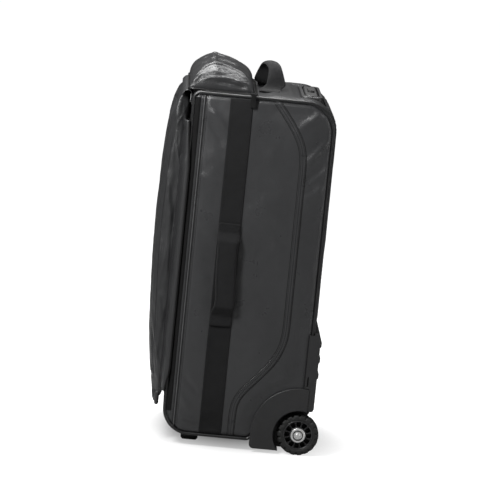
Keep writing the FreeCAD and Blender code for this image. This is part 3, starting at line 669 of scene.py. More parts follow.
def piping_cord(s, side):
    flat = resample(side_outline(PIPING_R - 0.0001, 16), 0.0032)
    wander = noise_at(np.column_stack([flat, np.full(len(flat), s)]), 0.05, 11.0)
    y = HALF_Y - PIPING_R - 0.0004 + 0.0003 * wander
    line = np.column_stack([flat[:, 0], s * y, flat[:, 1]])
    obj = tube("piping_cord_" + side, line, PIPING_R * (1 + 0.03 * wander), piping_mat, sides=14)
    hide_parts("piping_" + side)
    inner = resample(side_outline(2 * PIPING_R + 0.0022, 16), SEAM_STEP)
    keep = np.hypot(inner[:, 0] - AXLE_X, inner[:, 1] - AXLE_Z) > HOUSING_R + 0.004
    start = int(np.argmax(~keep))
    run = np.roll(inner, -start, 0)[np.roll(keep, -start)]
    stitch(on_side(s, run, STITCH_LIFT), (0, s, 0))


def side_webbing(s, side):
    """Full-height strap, slightly thicker along its selvages."""
    across = np.array([-0.5, -0.495, -0.47, -0.43, -0.3, -0.1, 0.1, 0.3, 0.43, 0.47, 0.495, 0.5])
    lift = np.array([0.0, 0.7, 1.0, 0.93, 0.9, 0.9, 0.9, 0.9, 0.93, 1.0, 0.7, 0.0]) * WEBBING_T
    zs = np.arange(BOTTOM + 0.0075, TOP - 0.0065, 0.0032)
    wander = 0.0006 * noise_at(np.column_stack([zs * 0, zs * 0, zs]), 0.12, 2.0 + s)
    rows = [on_side(s, np.column_stack([STRAP_X + wander + a * STRAP_W, zs]), h)
            for a, h in zip(across, lift)]
    obj = strip("side_webbing_" + side, rows, s > 0, webbing)
    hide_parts("side_strap_" + side)
    for a in (-0.4, 0.4):
        line = np.column_stack([STRAP_X + wander + a * STRAP_W, zs])
        stitch(on_side(s, line, WEBBING_T * 0.93 + 0.0001), (0, s, 0), 0.0036)


def carry_handle(s, side):
    """Folded webbing grip, flat at its sewn ends and full in the middle."""
    tab = 0.019
    z = np.linspace(grip_lo.z + 0.0005, grip_hi.z - 0.0005, 84)
    t = np.minimum(z - grip_lo.z, grip_hi.z - z)
    arch = smooth01((t - tab) / 0.034)
    base = side_y(np.full(z.size, STRAP_X), z) + WEBBING_T + 0.0004
    outer_limit = abs(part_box("side_handle_" + side)[0 if s < 0 else 1].y) + 0.0015
    thick = 0.0034 + 0.0042 * smooth01((t - tab) / 0.02)
    mid = np.minimum(base + thick / 2 + 0.0125 * arch, outer_limit - thick / 2)
    half = (STRAP_W / 2 - 0.0005) * (1 - 0.075 * smooth01((t - tab - 0.004) / 0.03))
    lean = 0.0012 * noise_at(np.column_stack([z, z * 0, z]), 0.07, 5.0)
    lean = lean + 0.0045 * arch * smooth01(((grip_lo.z + grip_hi.z) / 2 + 0.03 - z) / 0.09)
    sides = 22
    verts = []
    for i in range(len(z)):
        for a in turns(sides):
            u = power(math.cos(a), 0.38) * half[i]
            v = power(math.sin(a), 0.55) * thick[i] / 2
            bow = 0.0007 * arch[i] * (u / half[i]) ** 2
            verts.append((STRAP_X + lean[i] + u, s * (mid[i] + v - bow), z[i]))
    faces = grid_faces(len(z), sides, close_cols=True, flip=s < 0) + end_caps(len(z), sides)
    obj = add_object("carry_handle_" + side, verts, faces, webbing_grip, "bag")
    modifier(obj, "SUBSURF", levels=1, render_levels=1)
    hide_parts("side_handle_" + side)
    up = (0, s, 0)
    for end, way in ((grip_lo.z, 1), (grip_hi.z, -1)):
        left, right = STRAP_X - STRAP_W / 2 + 0.004, STRAP_X + STRAP_W / 2 - 0.004
        near, far = end + way * 0.0035, end + way * (tab - 0.0025)
        box_line = [(left, near), (right, near), (right, far), (left, far), (left, near)]
        for run in (box_line, [(left, near), (right, far)], [(right, near), (left, far)]):
            flat = resample(run, 0.002, closed=False)
            y = np.interp(flat[:, 1], z, mid + thick / 2) + 0.0001
            stitch(np.column_stack([flat[:, 0], s * y, flat[:, 1]]), up, 0.003)
    inner = (t > tab + 0.004)
    for a in (-0.8, 0.8):
        y = (mid + thick / 2 * 0.93)[inner]
        x = (STRAP_X + lean + a * half)[inner]
        stitch(np.column_stack([x, s * y, z[inner]]), up, 0.0036)


webbing_grip = woven_webbing("webbing_grip_look", (0.0058, 0.0058, 0.0062), 0.0014)
# Lighter copy of the side cloth, which paints the highlight on the straight seam's ridge.
seam_highlight_cloth = coated_cloth("seam_highlight_look", (0.06, 0.0605, 0.062), 0.3)
for s, side in SIDES:
    side_wall(s, side)
    seam_band(s, side)
    straight_seam(s, side)
    piping_cord(s, side)
    side_webbing(s, side)
    carry_handle(s, side)
    sew("side_stitches_" + side)


# ---- wrapped wall, front wall and lining ----
GUSSET_HALF = HALF_Y - 2 * PIPING_R - 0.0002
FRONT_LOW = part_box("front_panel")[0].z
FRONT_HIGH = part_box("front_panel")[1].z
MOUTH_LOW, MOUTH_HIGH = 0.112, 0.69
BEZEL_GAP = 0.0003
TOP_BAND = 0.012                # height of the zone that counts as the bag's top


def wrap_line(step):
    """The bag's outline from the front wall's foot round the back to its top, as an open line."""
    pts = resample(side_outline(0.0001, 16), 0.0008)
    on_front = (pts[:, 0] < FRONT + 0.001) & (pts[:, 1] > FRONT_LOW) & (pts[:, 1] < FRONT_HIGH)
    start = int(np.argmax(on_front & ~np.roll(on_front, -1)))
    turned = np.roll(pts, -start - 1, 0)
    keep = ~np.roll(on_front, -start - 1)
    run = turned[keep]
    if run[0, 1] > run[-1, 1]:
        run = run[::-1]
    return resample(run, step, closed=False)


def wrapped_wall():
    line = wrap_line(0.004)
    hole_x0, hole_x1 = bezel_lo.x - BEZEL_GAP, bezel_hi.x + BEZEL_GAP
    hole_y = bezel_hi.y + BEZEL_GAP
    for edge_x in (hole_x0, hole_x1):
        top_run = np.where(line[:, 1] > TOP - TOP_BAND)[0]
        near = top_run[np.abs(line[top_run, 0] - edge_x).argmin()]
        line[near, 0] = edge_x
    ys = np.linspace(-GUSSET_HALF, GUSSET_HALF, 61)
    for edge_y in (-hole_y, hole_y):
        ys[np.abs(ys - edge_y).argmin()] = edge_y
    out = sideways(line)
    x = np.repeat(line[:, 0][:, None], len(ys), 1)
    z = np.repeat(line[:, 1][:, None], len(ys), 1)
    y = np.repeat(ys[None], len(line), 0)
    flat = np.column_stack([x.ravel(), y.ravel(), z.ravel()])
    edge = GUSSET_HALF - np.abs(y)
    soft = smooth01(edge / 0.02)
    at_bezel = smooth01((np.abs(x - (bezel_lo.x + bezel_hi.x) / 2) - 0.026) / 0.02)
    beside = smooth01((np.abs(y) - bezel_hi.y - 0.004) / 0.02)
    at_bezel = np.maximum(at_bezel, beside) * (z > TOP - 0.03) + (z <= TOP - 0.03)
    at_kick = smooth01((z - kick_hi.z - 0.004) / 0.03)
    at_pocket = 1 - smooth01((0.03 - x) / 0.02) * (z > TOP - 0.03)
    swell = 0.0034 * soft * at_bezel * at_kick * at_pocket * (x > 0.0)
    waves = (0.0009 * noise_at(flat, 0.07, 21.0) + 0.0003 * noise_at(flat, 0.02, 23.0)).reshape(x.shape)
    seam = -0.0012 * np.exp(-((x - 0.06) / 0.0022) ** 2) * (z > TOP - 0.02)
    push = swell + waves * soft * np.clip(swell / 0.003, 0.1, 1) + seam * soft
    x = x + out[:, 0][:, None] * push
    z = z + out[:, 1][:, None] * push
    verts = np.column_stack([x.ravel(), y.ravel(), z.ravel()])
    faces = []
    for f in grid_faces(len(line), len(ys)):
        c = verts[list(f)].mean(0)
        if hole_x0 < c[0] < hole_x1 and abs(c[1]) < hole_y and c[2] > TOP - TOP_BAND:
            continue
        faces.append(f)
    obj = add_object("wrapped_wall", verts, faces, wrap_cloth, "bag")
    centre = Vector(((FRONT + BACK) / 2, 0, (TOP + BOTTOM) / 2))
    outward = sum((p.center - centre).dot(p.normal) for p in obj.data.polygons)
    if outward < 0:
        obj.data.flip_normals()
    line_with_cloth(obj, WALL_T)
    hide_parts("gusset")
    stretched_sheet(obj, 2 * GUSSET_HALF, total_length(line))


def back_guard():
    """Ribbed guard cloth over the upper back corner and the pull handle's channel."""
    line = wrap_line(0.0016)
    run = line[(line[:, 0] > bezel_hi.x + 0.004) & (line[:, 1] > kick_hi.z + 0.008)]
    out = sideways(run)
    if out[len(out) // 2, 0] < 0:
        out = -out
    length = distances(run)
    half = 0.128
    ys = np.linspace(-half, half, 29)
    ends = smooth01(np.minimum(length, length[-1] - length) / 0.006)
    ribs = 0.0009 * np.abs(np.sin(math.pi * length / 0.0085)) * ends
    swell = 0.0034 * smooth01((run[:, 1] - kick_hi.z - 0.004) / 0.03)
    verts = []
    for i in range(len(run)):
        for y in ys:
            side = smooth01((half - abs(y)) / 0.004)
            push = swell[i] + (0.0006 + ribs[i]) * side
            verts.append((run[i, 0] + out[i, 0] * push, y, run[i, 1] + out[i, 1] * push))
    obj = add_object("back_guard", verts, grid_faces(len(run), len(ys)), tape_and_shade_mat, "bag")
    obj.data.validate()
    if sum(p.normal.x for p in obj.data.polygons) < 0:
        obj.data.flip_normals()
    stretched_sheet(obj, 2 * half)


def rounded_rect(a0, a1, b0, b1, r, count=20):
    """Closed outline of a rectangle with rounded corners, in two coordinates."""
    pts = []
    corners = ((a1 - r, b1 - r), (a0 + r, b1 - r), (a0 + r, b0 + r), (a1 - r, b0 + r))
    for quarter, (a, b) in enumerate(corners):
        start = math.radians(90 * quarter)
        pts += arc_points(a, b, r, start, start + math.pi / 2, count)
    return pts


def rounded_loop(half_y, z0, z1, r, count=20):
    return rounded_rect(-half_y, half_y, z0, z1, r, count)


def front_wall():
    """Front wall with its mouth, and the stitches round the zip tape."""
    node_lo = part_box("main_zip_tape")[0]
    mouth = resample(rounded_loop(0.125, MOUTH_LOW, MOUTH_HIGH, 0.06), 0.006)
    outer = rounded_loop(GUSSET_HALF, FRONT_LOW - 0.001, FRONT_HIGH + 0.001, 0.002, 4)
    outer = resample(outer, 0.006)
    count = 260
    inner_line = resample(mouth, 0.001)
    outer_line = resample(outer, 0.001)
    middle = np.array([0, (MOUTH_LOW + MOUTH_HIGH) / 2])
    angles = np.linspace(0, 2 * math.pi, count, endpoint=False)

    def at_angles(line):
        a = np.unwrap(np.arctan2(line[:, 1] - middle[1], line[:, 0] - middle[0]))
        order = np.argsort(a % (2 * math.pi))
        a = (a % (2 * math.pi))[order]
        return np.column_stack([np.interp(angles, a, line[order, k], period=2 * math.pi)
                                for k in (0, 1)])

    inner, edge = at_angles(inner_line), at_angles(outer_line)
    verts = []
    for t in (0.0, 0.1, 0.3, 0.55, 0.8, 1.0):
        ring = inner * (1 - t) + edge * t
        dip = 0.0004 + 0.0005 * noise_at(np.column_stack([ring, ring[:, 0] * 0]), 0.05, 31.0)
        for p, d in zip(ring, dip):
            verts.append((FRONT + max(d, 0.0001), p[0], p[1]))
    obj = add_object("front_wall", verts, grid_faces(6, count, close_cols=True), wrap_cloth, "bag")
    if sum(p.normal.x for p in obj.data.polygons) > 0:
        obj.data.flip_normals()
    line_with_cloth(obj, WALL_T)
    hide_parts("front_panel")
    stretched_sheet(obj, 2 * GUSSET_HALF, FRONT_HIGH - FRONT_LOW)
    ring = resample(rounded_loop(0.134, 0.103, 0.699, 0.066), 0.003)
    stitch(at_x(node_lo.x, ring)[ring[:, 1] < 0.672], (-1, 0, 0))


def zip_coil(name, line, up, width=0.0052, pitch=0.0022):
    """Two facing rows of coil teeth along a zip."""
    pts = resample(line, pitch, closed=False)
    along = unit(np.gradient(pts, axis=0))
    up = np.asarray(up, float)
    verts, faces = [], []
    for i, p in enumerate(pts):
        across = np.cross(along[i], up)
        across /= np.linalg.norm(across)
        side = 1 if i % 2 else -1
        base = len(verts)
        for t, h in ((-0.15, 0.3), (0.15, 1.0), (0.6, 1.0), (1.0, 0.2)):
            for e in (-0.5, 0.5):
                for k in (0.0, 1.0):
                    out = p + across * side * t * width / 2
                    verts.append(out + along[i] * e * pitch * 0.8 + up * 0.0011 * h * k)
        for a in (base, base + 4, base + 8):
            quads = (0, 1, 5, 4), (2, 6, 7, 3), (1, 3, 7, 5)
            faces += [tuple(a + k for k in quad) for quad in quads]
        faces += [tuple(base + k for k in quad) for quad in ((0, 2, 3, 1), (12, 13, 15, 14))]
    add_object(name, verts, faces, coil_mat, "bag", smooth=False)


def edge_tape_and_shade(s, side):
    """Black tape over each front edge of the bag, made near-black so that it paints the shade behind
    the lid.
    """
    zs = np.arange(BOTTOM + 0.048, TOP - 0.01, 0.004)
    across = np.array([0.0, 0.02, 0.25, 0.5, 0.75, 0.98, 1.0])
    lift = np.array([0.0, 1.0, 1.0, 1.0, 1.0, 1.0, 0.0]) * 0.0009
    x0, x1 = FRONT + 0.0052, FRONT + 0.0172
    rows = [on_side(s, np.column_stack([np.full(zs.size, x0 + (x1 - x0) * a), zs]), h - 0.0001)
            for a, h in zip(across, lift)]
    strip("edge_tape_and_shade_" + side, rows, s > 0, tape_and_shade_mat)


coil_mat = moulded_plastic("coil_look", (0.01, 0.01, 0.01), 0.35, 0.00002)
wrapped_wall()
back_guard()
front_wall()
for s, side in SIDES:
    edge_tape_and_shade(s, side)
sew("front_stitches")
seam_y = np.linspace(-GUSSET_HALF + 0.006, GUSSET_HALF - 0.006, 120)
for off in (-0.004, 0.004):
    seam = np.column_stack([np.full(120, 0.06 + off), seam_y, np.full(120, TOP + STITCH_LIFT)])
    stitch(seam, (0, 0, 1))
sew("top_stitches")
right_turn = arc_points(0.066, 0.171, 0.063, 0, -math.pi / 2, 12)
left_turn = arc_points(0.066, 0.171, 0.063, -math.pi / 2, 0, 12)
zip_path = [(-0.129, 0.66), (-0.129, 0.171)] + [(-y, z) for y, z in right_turn]
zip_path = resample(zip_path + left_turn + [(0.129, 0.66)], 0.004, closed=False)
zip_coil("main_zip_coil", at_x(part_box("main_zip_tape")[0].x + 0.0002, zip_path), (-1, 0, 0))


# ---- filled pieces ----
def evaluated(obj):
    return bpy.data.meshes.new_from_object(obj.evaluated_get(bpy.context.evaluated_depsgraph_get()))


def set_coordinates(mesh, co):
    mesh.vertices.foreach_set("co", np.asarray(co, np.float32).ravel())
    mesh.update()


def apply_modifiers(obj):
    obj.data = evaluated(obj)
    obj.modifiers.clear()


def rebuilt(obj, voxel):
    modifier(obj, "REMESH", mode="VOXEL", voxel_size=voxel)
    apply_modifiers(obj)


CLOTH_FRAMES = 20
CLOTH_SETTINGS = {
    "quality": 5, "mass": 0.35, "use_pressure": True, "uniform_pressure_force": 4.0,
    "tension_stiffness": 12, "compression_stiffness": 6, "bending_stiffness": 0.6,
    "vertex_group_mass": "held",
}


def inflate(obj, pinned, cap):
    """Fills the piece by a short cloth simulation, and limits how far any point may move."""
    start = vertex_rows(obj.data, "co")
    group = obj.vertex_groups.new(name="held")
    group.add([int(i) for i in np.where(pinned(start))[0]], 1.0, "REPLACE")
    cloth = modifier(obj, "CLOTH")
    for key, value in CLOTH_SETTINGS.items():
        setattr(cloth.settings, key, value)
    cloth.settings.effector_weights.gravity = 0
    cloth.point_cache.frame_start = 1
    cloth.point_cache.frame_end = CLOTH_FRAMES
    scene = bpy.context.scene
    for f in range(1, CLOTH_FRAMES + 1):
        scene.frame_set(f)
    done = evaluated(obj)
    moved = vertex_rows(done, "co") - start
    far = np.linalg.norm(moved, axis=1)
    moved *= np.minimum(1.0, cap / np.maximum(far, 1e-9))[:, None]
    obj.modifiers.clear()
    obj.vertex_groups.clear()
    set_coordinates(obj.data, start + moved)
    scene.frame_set(1)


def subdivided(obj):
    modifier(obj, "SUBSURF", levels=1, render_levels=1)
    apply_modifiers(obj)


def finish_soft(obj, material):
    obj.data.materials.clear()
    obj.data.materials.append(material)
    obj.data.shade_smooth()
    metric_uv(obj.data)


def cast(tree, points, direction):
    """Points thrown onto a surface and lifted for a stitch; those that miss are left out."""
    way = Vector(direction)
    hits = []
    for p in points:
        place, normal, _, _ = tree.ray_cast(Vector(p) - way * 0.08, way, 0.2)
        if place is not None:
            hits.append(tuple(place + normal * STITCH_LIFT))
    return np.array(hits)


def ridge(a, b, path, width, height):
    """Gaussian fold along a polyline in two coordinates, fading at its ends."""
    line = smoothed(resample(path, 0.003, closed=False), 10)
    d2 = (a[:, None] - line[None, :, 0]) ** 2 + (b[:, None] - line[None, :, 1]) ** 2
    near = d2.argmin(1)
    fade = smooth01(np.minimum(near, len(line) - 1 - near) / (len(line) * 0.22))
    return height * np.exp(-d2.min(1) / width ** 2) * fade


def add_folds(push, share, a, b, folds):
    for path, width, height in folds:
        push += share * ridge(a, b, path, width, height)


# ---- lid ----
LID_OUTER = [
    (0.08, -0.156), (0.1, -0.1585), (0.142, -0.1665), (0.183, -0.172), (0.224, -0.1765),
    (0.265, -0.1785), (0.306, -0.1805), (0.387, -0.1835), (0.45, -0.1838), (0.54, -0.1815),
    (0.6, -0.179), (0.645, -0.1755), (0.68, -0.1715), (0.705, -0.165), (0.718, -0.16),
    (0.7235, -0.156),
]
LID_FOOT = lid_lo.z - 0.006
PANEL_HALF_Y, PANEL_Z, PANEL_HALF_Z = 0.128, 0.405, 0.275     # stitched panel line of the lid


def lid_outer(z):
    table = np.array(LID_OUTER)
    return np.interp(z, table[:, 0], table[:, 1])


def lid_inner(z, reach=1.0):
    """Inner face: it pulls away at the foot and, where reach is 1 by the side edges, at the top."""
    low = 0.009 * smooth01((0.104 - z) / 0.022)
    high = 0.012 * smooth01((z - 0.65) / 0.07)
    return lid_hi.x - 0.0004 - low - high * reach


def rounding(r, past):
    """How far a corner of radius r stands back, past the point where it starts."""
    return r - np.sqrt(np.maximum(r ** 2 - past ** 2, 0))


def lid_half(z):
    """Half the lid's width at height z, with its corners rounded."""
    top, low = 0.055, 0.01
    shrink = np.where(z > lid_hi.z - top, rounding(top, z - lid_hi.z + top), 0)
    below = np.where(z < LID_FOOT + low, rounding(low, LID_FOOT + low - z), 0)
    return lid_hi.y - shrink - below


def edge_reach(y, z):
    return smooth01((np.abs(y) - lid_half(z) + 0.03) / 0.022)


def padded_lid():
    inset = 0.003
    zs = np.linspace(LID_FOOT + inset, lid_hi.z - inset, 130)
    around = 96
    verts = []
    for z in zs:
        thin = min(inset, 0.12 * (lid_inner(z) - lid_outer(z)))
        half = lid_half(z) - inset
        for a in turns(around):
            u, v = power(math.cos(a), 0.34), power(math.sin(a), 0.34)
            x0 = lid_outer(z) + thin
            x1 = lid_inner(z, edge_reach(v * half, z)) - thin * 0.5
            verts.append(((x0 + x1) / 2 - u * (x1 - x0) / 2, v * half, z))
    faces = grid_faces(len(zs), around, close_cols=True)
    faces += [cap[::-1] for cap in end_caps(len(zs), around)]
    obj = add_object("padded_lid", verts, faces, lid_cloth, None, uv=False)
    rebuilt(obj, 0.0052)
    inflate(obj, lambda co: co[:, 0] > lid_hi.x - 0.006, 0.007)
    subdivided(obj)
    mesh = obj.data
    co = vertex_rows(mesh, "co")
    n = vertex_rows(mesh, "normal")
    x, y, z = co.T
    flank = smooth01((np.abs(n[:, 1]) - 0.35) / 0.4)
    face = smooth01((-n[:, 0] - 0.35) / 0.4)
    push = np.zeros(len(co))
    add_folds(push, flank, x, z, LID_FOLDS)
    long_way = np.column_stack([x * 2.2, y, z * 0.45])
    push += flank * (0.0017 * noise_at(long_way, 0.022, 41.0) + 0.0008 * noise_at(co, 0.016, 43.0))
    push += face * (0.0022 * noise_at(np.column_stack([x, y, z * 0.7]), 0.085, 47.0))
    push += face * 0.0007 * noise_at(co, 0.022, 49.0)
    panel = np.maximum(np.abs(y) / PANEL_HALF_Y, np.abs(z - PANEL_Z) / PANEL_HALF_Z)
    push -= face * 0.0016 * np.exp(-((panel - 1) / 0.016) ** 2)
    co = co + n * push[:, None]
    back = lid_inner(co[:, 2], edge_reach(co[:, 1], co[:, 2]))
    co[:, 0] = np.minimum(co[:, 0], back)
    set_coordinates(mesh, co)
    finish_soft(obj, lid_cloth)
    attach(obj, "lid")
    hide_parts("lid_pad")
    return obj


LID_FOLDS = [
    ([(-0.154, 0.697), (-0.149, 0.678), (-0.161, 0.658), (-0.163, 0.645)], 0.0016, 0.0018),
    ([(-0.163, 0.645), (-0.1595, 0.61), (-0.151, 0.576), (-0.144, 0.547)], 0.0018, 0.002),
    ([(-0.172, 0.56), (-0.16, 0.47), (-0.163, 0.38), (-0.172, 0.3)], 0.004, 0.002),
    ([(-0.15, 0.5), (-0.153, 0.42), (-0.149, 0.33)], 0.0034, -0.0018),
    ([(-0.17, 0.33), (-0.158, 0.25), (-0.16, 0.18), (-0.155, 0.13)], 0.0038, 0.0022),
    ([(-0.148, 0.3), (-0.152, 0.22), (-0.148, 0.165)], 0.003, -0.0016),
    ([(-0.165, 0.2), (-0.152, 0.16), (-0.15, 0.11)], 0.0028, 0.0017),
    ([(-0.176, 0.46), (-0.168, 0.4), (-0.176, 0.34)], 0.0036, -0.0016),
]


def side_flange(tree, s, side, zs):
    """Edge of the lid that laps back over the bag's front corner, with its binding."""
    reach = smooth01((zs - zs[0]) / 0.05) * smooth01((0.655 - zs) / 0.09)
    roots = []
    for z in zs:
        hit = tree.find_nearest((lid_inner(z) - 0.006, s * lid_hi.y, z))[0]
        roots.append((hit.x, hit.y, z))
    roots = smoothed(np.array(roots), 4)
    away = s * np.maximum(np.abs(roots[:, 1]), HALF_Y + 0.0024)
    back = lid_inner(zs) + 0.001 + 0.007 * reach
    rows = []
    for t in (-0.15, 0.0, 0.2, 0.45, 0.7, 0.85, 1.0):
        bow = 0.0008 * math.sin(math.pi * max(t, 0)) * reach
        y = roots[:, 1] + (away - roots[:, 1]) * min(1, max(t, 0) * 2) + s * bow - s * 0.002 * (t < 0)
        rows.append(np.column_stack([roots[:, 0] + (back - roots[:, 0]) * t, y, zs]))
    obj = strip("lid_flange_" + side, rows, s > 0, lid_cloth, "lid")
    modifier(obj, "SOLIDIFY", thickness=0.0016, offset=0.0)
    stretched_sheet(obj, float(zs[-1] - zs[0]))
    edge = np.column_stack([back, away, zs])
    hem = tube("lid_binding_" + side, smoothed(edge, 4), 0.0019, tape_and_shade_mat, "lid", closed=False)


def lid_trim(obj):
    tree = BVHTree.FromObject(obj, bpy.context.evaluated_depsgraph_get())
    for s, side in SIDES:
        zs = np.arange(lid_lo.z + 0.03, lid_hi.z - 0.056, 0.004)
        side_flange(tree, s, side, zs)
        for inset in (0.0075, 0.0105):
            row = [(lid_inner(z) - inset, s * 0.16, z) for z in zs]
            stitch(cast(tree, row, (0, -s, 0)), (0, s, 0))
        outer = [(lid_outer(z) + 0.0085, s * 0.16, z) for z in zs[6:-10]]
        stitch(cast(tree, outer, (0, -s, 0)), (0, s, 0))
    loop = resample(rounded_loop(PANEL_HALF_Y, 0.13, 0.68, 0.03), 0.004)
    for inset in (0.0, 0.005):
        wide, high = 1 - inset / PANEL_HALF_Y, 1 - inset / PANEL_HALF_Z
        ring = [(-0.15, y * wide, PANEL_Z + (z - PANEL_Z) * high) for y, z in loop]
        stitch(cast(tree, ring, (1, 0, 0)), (-1, 0, 0))
    sew("lid_stitches", "lid")
    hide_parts("lid_hem")
    low = resample(rounded_loop(lid_hi.y - 0.005, LID_FOOT + 0.0046, LID_FOOT + 0.2, 0.009), 0.003)
    low = low[low[:, 1] < LID_FOOT + 0.032]
    low = low[np.argsort(np.arctan2(low[:, 0], 0.3 - low[:, 1]))]
    line = smoothed(at_x(-0.1515, low), 3)
    hem = tube("lid_lower_hem", line, 0.0045, lid_cloth, "lid", sides=14, closed=False)


def hinge_flap():
    """Strip of cloth from the bag's top front edge to the lid's top edge."""
    path = smoothed(resample([(-0.1374, 0.694), (-0.1378, 0.712), (-0.1405, 0.7215), (-0.1475, 0.7245),
                              (-0.154, 0.7215), (-0.158, 0.7145)], 0.0015, closed=False), 6)
    half = 0.146
    ys = np.linspace(-half, half, 60)
    verts = [(x + 0.0004 * math.sin(y * 160), y, z) for x, z in path for y in ys]
    obj = add_object("lid_hinge_flap", verts, grid_faces(len(path), len(ys)), lid_cloth, None)
    modifier(obj, "SOLIDIFY", thickness=0.001, offset=0.0)
    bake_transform(obj)


def lid_tab_piece():
    """Webbing folded double under the lid's lower edge."""
    lo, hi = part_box("lid_tab")
    mid_x, r = (lo.x + hi.x) / 2, 0.0014
    loop = []
    for i in range(25):
        a = math.pi * (i / 24)
        loop.append((mid_x + r * math.cos(a), lo.z + 0.0016 - r * math.sin(a)))
    legs = [(mid_x + r, z) for z in np.linspace(hi.z + 0.006, lo.z + 0.003, 10)]
    back = [(mid_x - r, z) for z in np.linspace(lo.z + 0.003, hi.z + 0.006, 10)]
    profile = legs + loop + back
    ys = np.linspace(lo.y + 0.0003, hi.y - 0.0003, 15)
    verts = []
    for px, pz in profile:
        for y in ys:
            verts.append((px + 0.0003 * math.sin(y * 300), y, pz + 0.0008 * math.cos(y * 90)))
    obj = add_object("lid_pull_tab", verts, grid_faces(len(profile), len(ys)), webbing, "lid")
    modifier(obj, "SOLIDIFY", thickness=0.0011, offset=0.0)
    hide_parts("lid_tab")


# ---- end pocket ----
POCKET_RISE = pocket_hi.z - pocket_lo.z - 0.0035
POCKET_X = (
    (0.0, 0.0), (0.02, 0.32), (0.05, 0.52), (0.1, 0.67), (0.2, 0.81), (0.3, 0.94), (0.37, 1.0),
    (0.45, 0.95), (0.53, 0.89), (0.7, 0.77), (0.85, 0.63), (0.93, 0.52), (0.98, 0.32), (1.0, 0.0),
)


def pocket_height(x, y):
    u = np.clip((x - pocket_lo.x) / (pocket_hi.x - pocket_lo.x), 0, 1)
    along = np.interp(u, [p[0] for p in POCKET_X], [p[1] for p in POCKET_X])
    across = np.maximum(1 - np.abs(y / pocket_hi.y) ** 8, 0) ** 0.32
    return POCKET_RISE * along * across


POCKET_FOLDS = [
   
    ([(-0.138, -0.137), (-0.112, -0.12), (-0.084, -0.108), (-0.052, -0.116),
     (-0.018, -0.132)], 0.0038, 0.0052),
    ([(-0.128, -0.1), (-0.086, -0.088), (-0.04, -0.1)], 0.007, -0.003),
    ([(-0.096, -0.104), (-0.1, -0.04), (-0.098, 0.04), (-0.096, 0.124)], 0.0085, 0.0045),
    ([(-0.135, -0.07), (-0.11, -0.036), (-0.072, -0.028), (-0.03, -0.05)], 0.01, 0.0036),
    ([(-0.135, -0.026), (-0.108, 0.012), (-0.068, 0.018), (-0.03, -0.008)], 0.009, -0.0026),
    ([(-0.136, 0.03), (-0.102, 0.07), (-0.06, 0.074), (-0.028, 0.05)], 0.011, 0.0036),
    ([(-0.138, 0.128), (-0.1, 0.126), (-0.05, 0.125), (-0.02, 0.118)], 0.006, 0.003),
]
POCKET_WALL_FOLDS = [
    ([(-0.143, 0.74), (-0.13, 0.75), (-0.118, 0.768)], 0.003, 0.0024),
    ([(-0.128, 0.744), (-0.104, 0.754), (-0.07, 0.754), (-0.026, 0.744)], 0.0032, 0.0026),
    ([(-0.1, 0.746), (-0.07, 0.745), (-0.026, 0.737)], 0.003, -0.0024),
]


def end_pocket():
    nx, ny = 36, 74
    floor_z = pocket_lo.z + 0.0004
    span = pocket_hi.x - pocket_lo.x - 0.003
    xs = pocket_lo.x + 0.0015 + span * (1 - np.cos(np.linspace(0, math.pi, nx))) / 2
    ys = pocket_hi.y * 0.992 * np.sin(np.linspace(-math.pi / 2, math.pi / 2, ny))
    x = np.repeat(xs[:, None], ny, 1)
    y = np.repeat(ys[None], nx, 0)
    z = floor_z + np.maximum(pocket_height(x, y) - 0.002, 0.0008)
    top = np.column_stack([x.ravel(), y.ravel(), z.ravel()])
    low = top.copy()
    low[:, 2] = floor_z
    count = nx * ny
    faces = grid_faces(nx, ny)
    under = [tuple(i + count for i in reversed(f)) for f in faces]
    rim = []
    border = [(i, 0) for i in range(nx)] + [(nx - 1, j) for j in range(1, ny)]
    border += [(i, ny - 1) for i in range(nx - 2, -1, -1)] + [(0, j) for j in range(ny - 2, 0, -1)]
    ids = [i * ny + j for i, j in border]
    for a, b in zip(ids, ids[1:] + ids[:1]):
        rim.append((a, a + count, b + count, b))
    obj = add_object("soft_end_pocket", np.vstack([top, low]), faces + under + rim, pocket_cloth,
                     None, uv=False)
    recalc_normals(obj)
    rebuilt(obj, 0.0045)
    inflate(obj, lambda co: co[:, 2] < pocket_lo.z + 0.004, 0.0035)
    subdivided(obj)
    mesh = obj.data
    co = vertex_rows(mesh, "co")
    n = vertex_rows(mesh, "normal")
    x, y, z = co.T
    up = smooth01((n[:, 2] - 0.15) / 0.5)
    flank = smooth01((np.abs(n[:, 1]) - 0.3) / 0.4)
    free = smooth01((z - pocket_lo.z - 0.003) / 0.01)
    push = np.zeros(len(co))
    add_folds(push, up, x, y, POCKET_FOLDS)
    add_folds(push, flank, x, z, POCKET_WALL_FOLDS)
    push += 0.0009 * noise_at(co, 0.04, 61.0) + 0.00025 * noise_at(co, 0.014, 63.0)
    co = co + n * (push * free)[:, None]
    co[:, 2] = np.maximum(co[:, 2], pocket_lo.z - 0.0001)
    set_coordinates(mesh, co)
    finish_soft(obj, pocket_cloth)
    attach(obj, "bag")
    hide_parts("end_pocket")


def pocket_trim():
    """Cord round the pocket's foot and the zip beside it."""
    x0, x1, y1 = pocket_lo.x + 0.0005, pocket_hi.x + 0.0005, pocket_hi.y + 0.0012
    flat = resample(rounded_rect(x0, x1, -y1, y1, 0.012, 10), 0.003)
    line = np.column_stack([flat, np.full(len(flat), TOP + 0.0022)])
    cord = tube("pocket_cord", line, 0.0015, piping_mat, sides=10)
    tape_lo, tape_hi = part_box("pocket_zip_tape")
    mid_y = tape_hi.y - 0.005
    path = [(tape_lo.x + 0.004, -mid_y), (tape_hi.x - 0.004, -mid_y), (tape_hi.x - 0.003, mid_y),
            (tape_lo.x + 0.004, mid_y)]
    flat = resample(path, 0.003, closed=False)
    line = np.column_stack([flat, np.full(len(flat), tape_hi.z)])
    zip_coil("pocket_zip_coil", line, (0, 0, 1), 0.0046, 0.002)


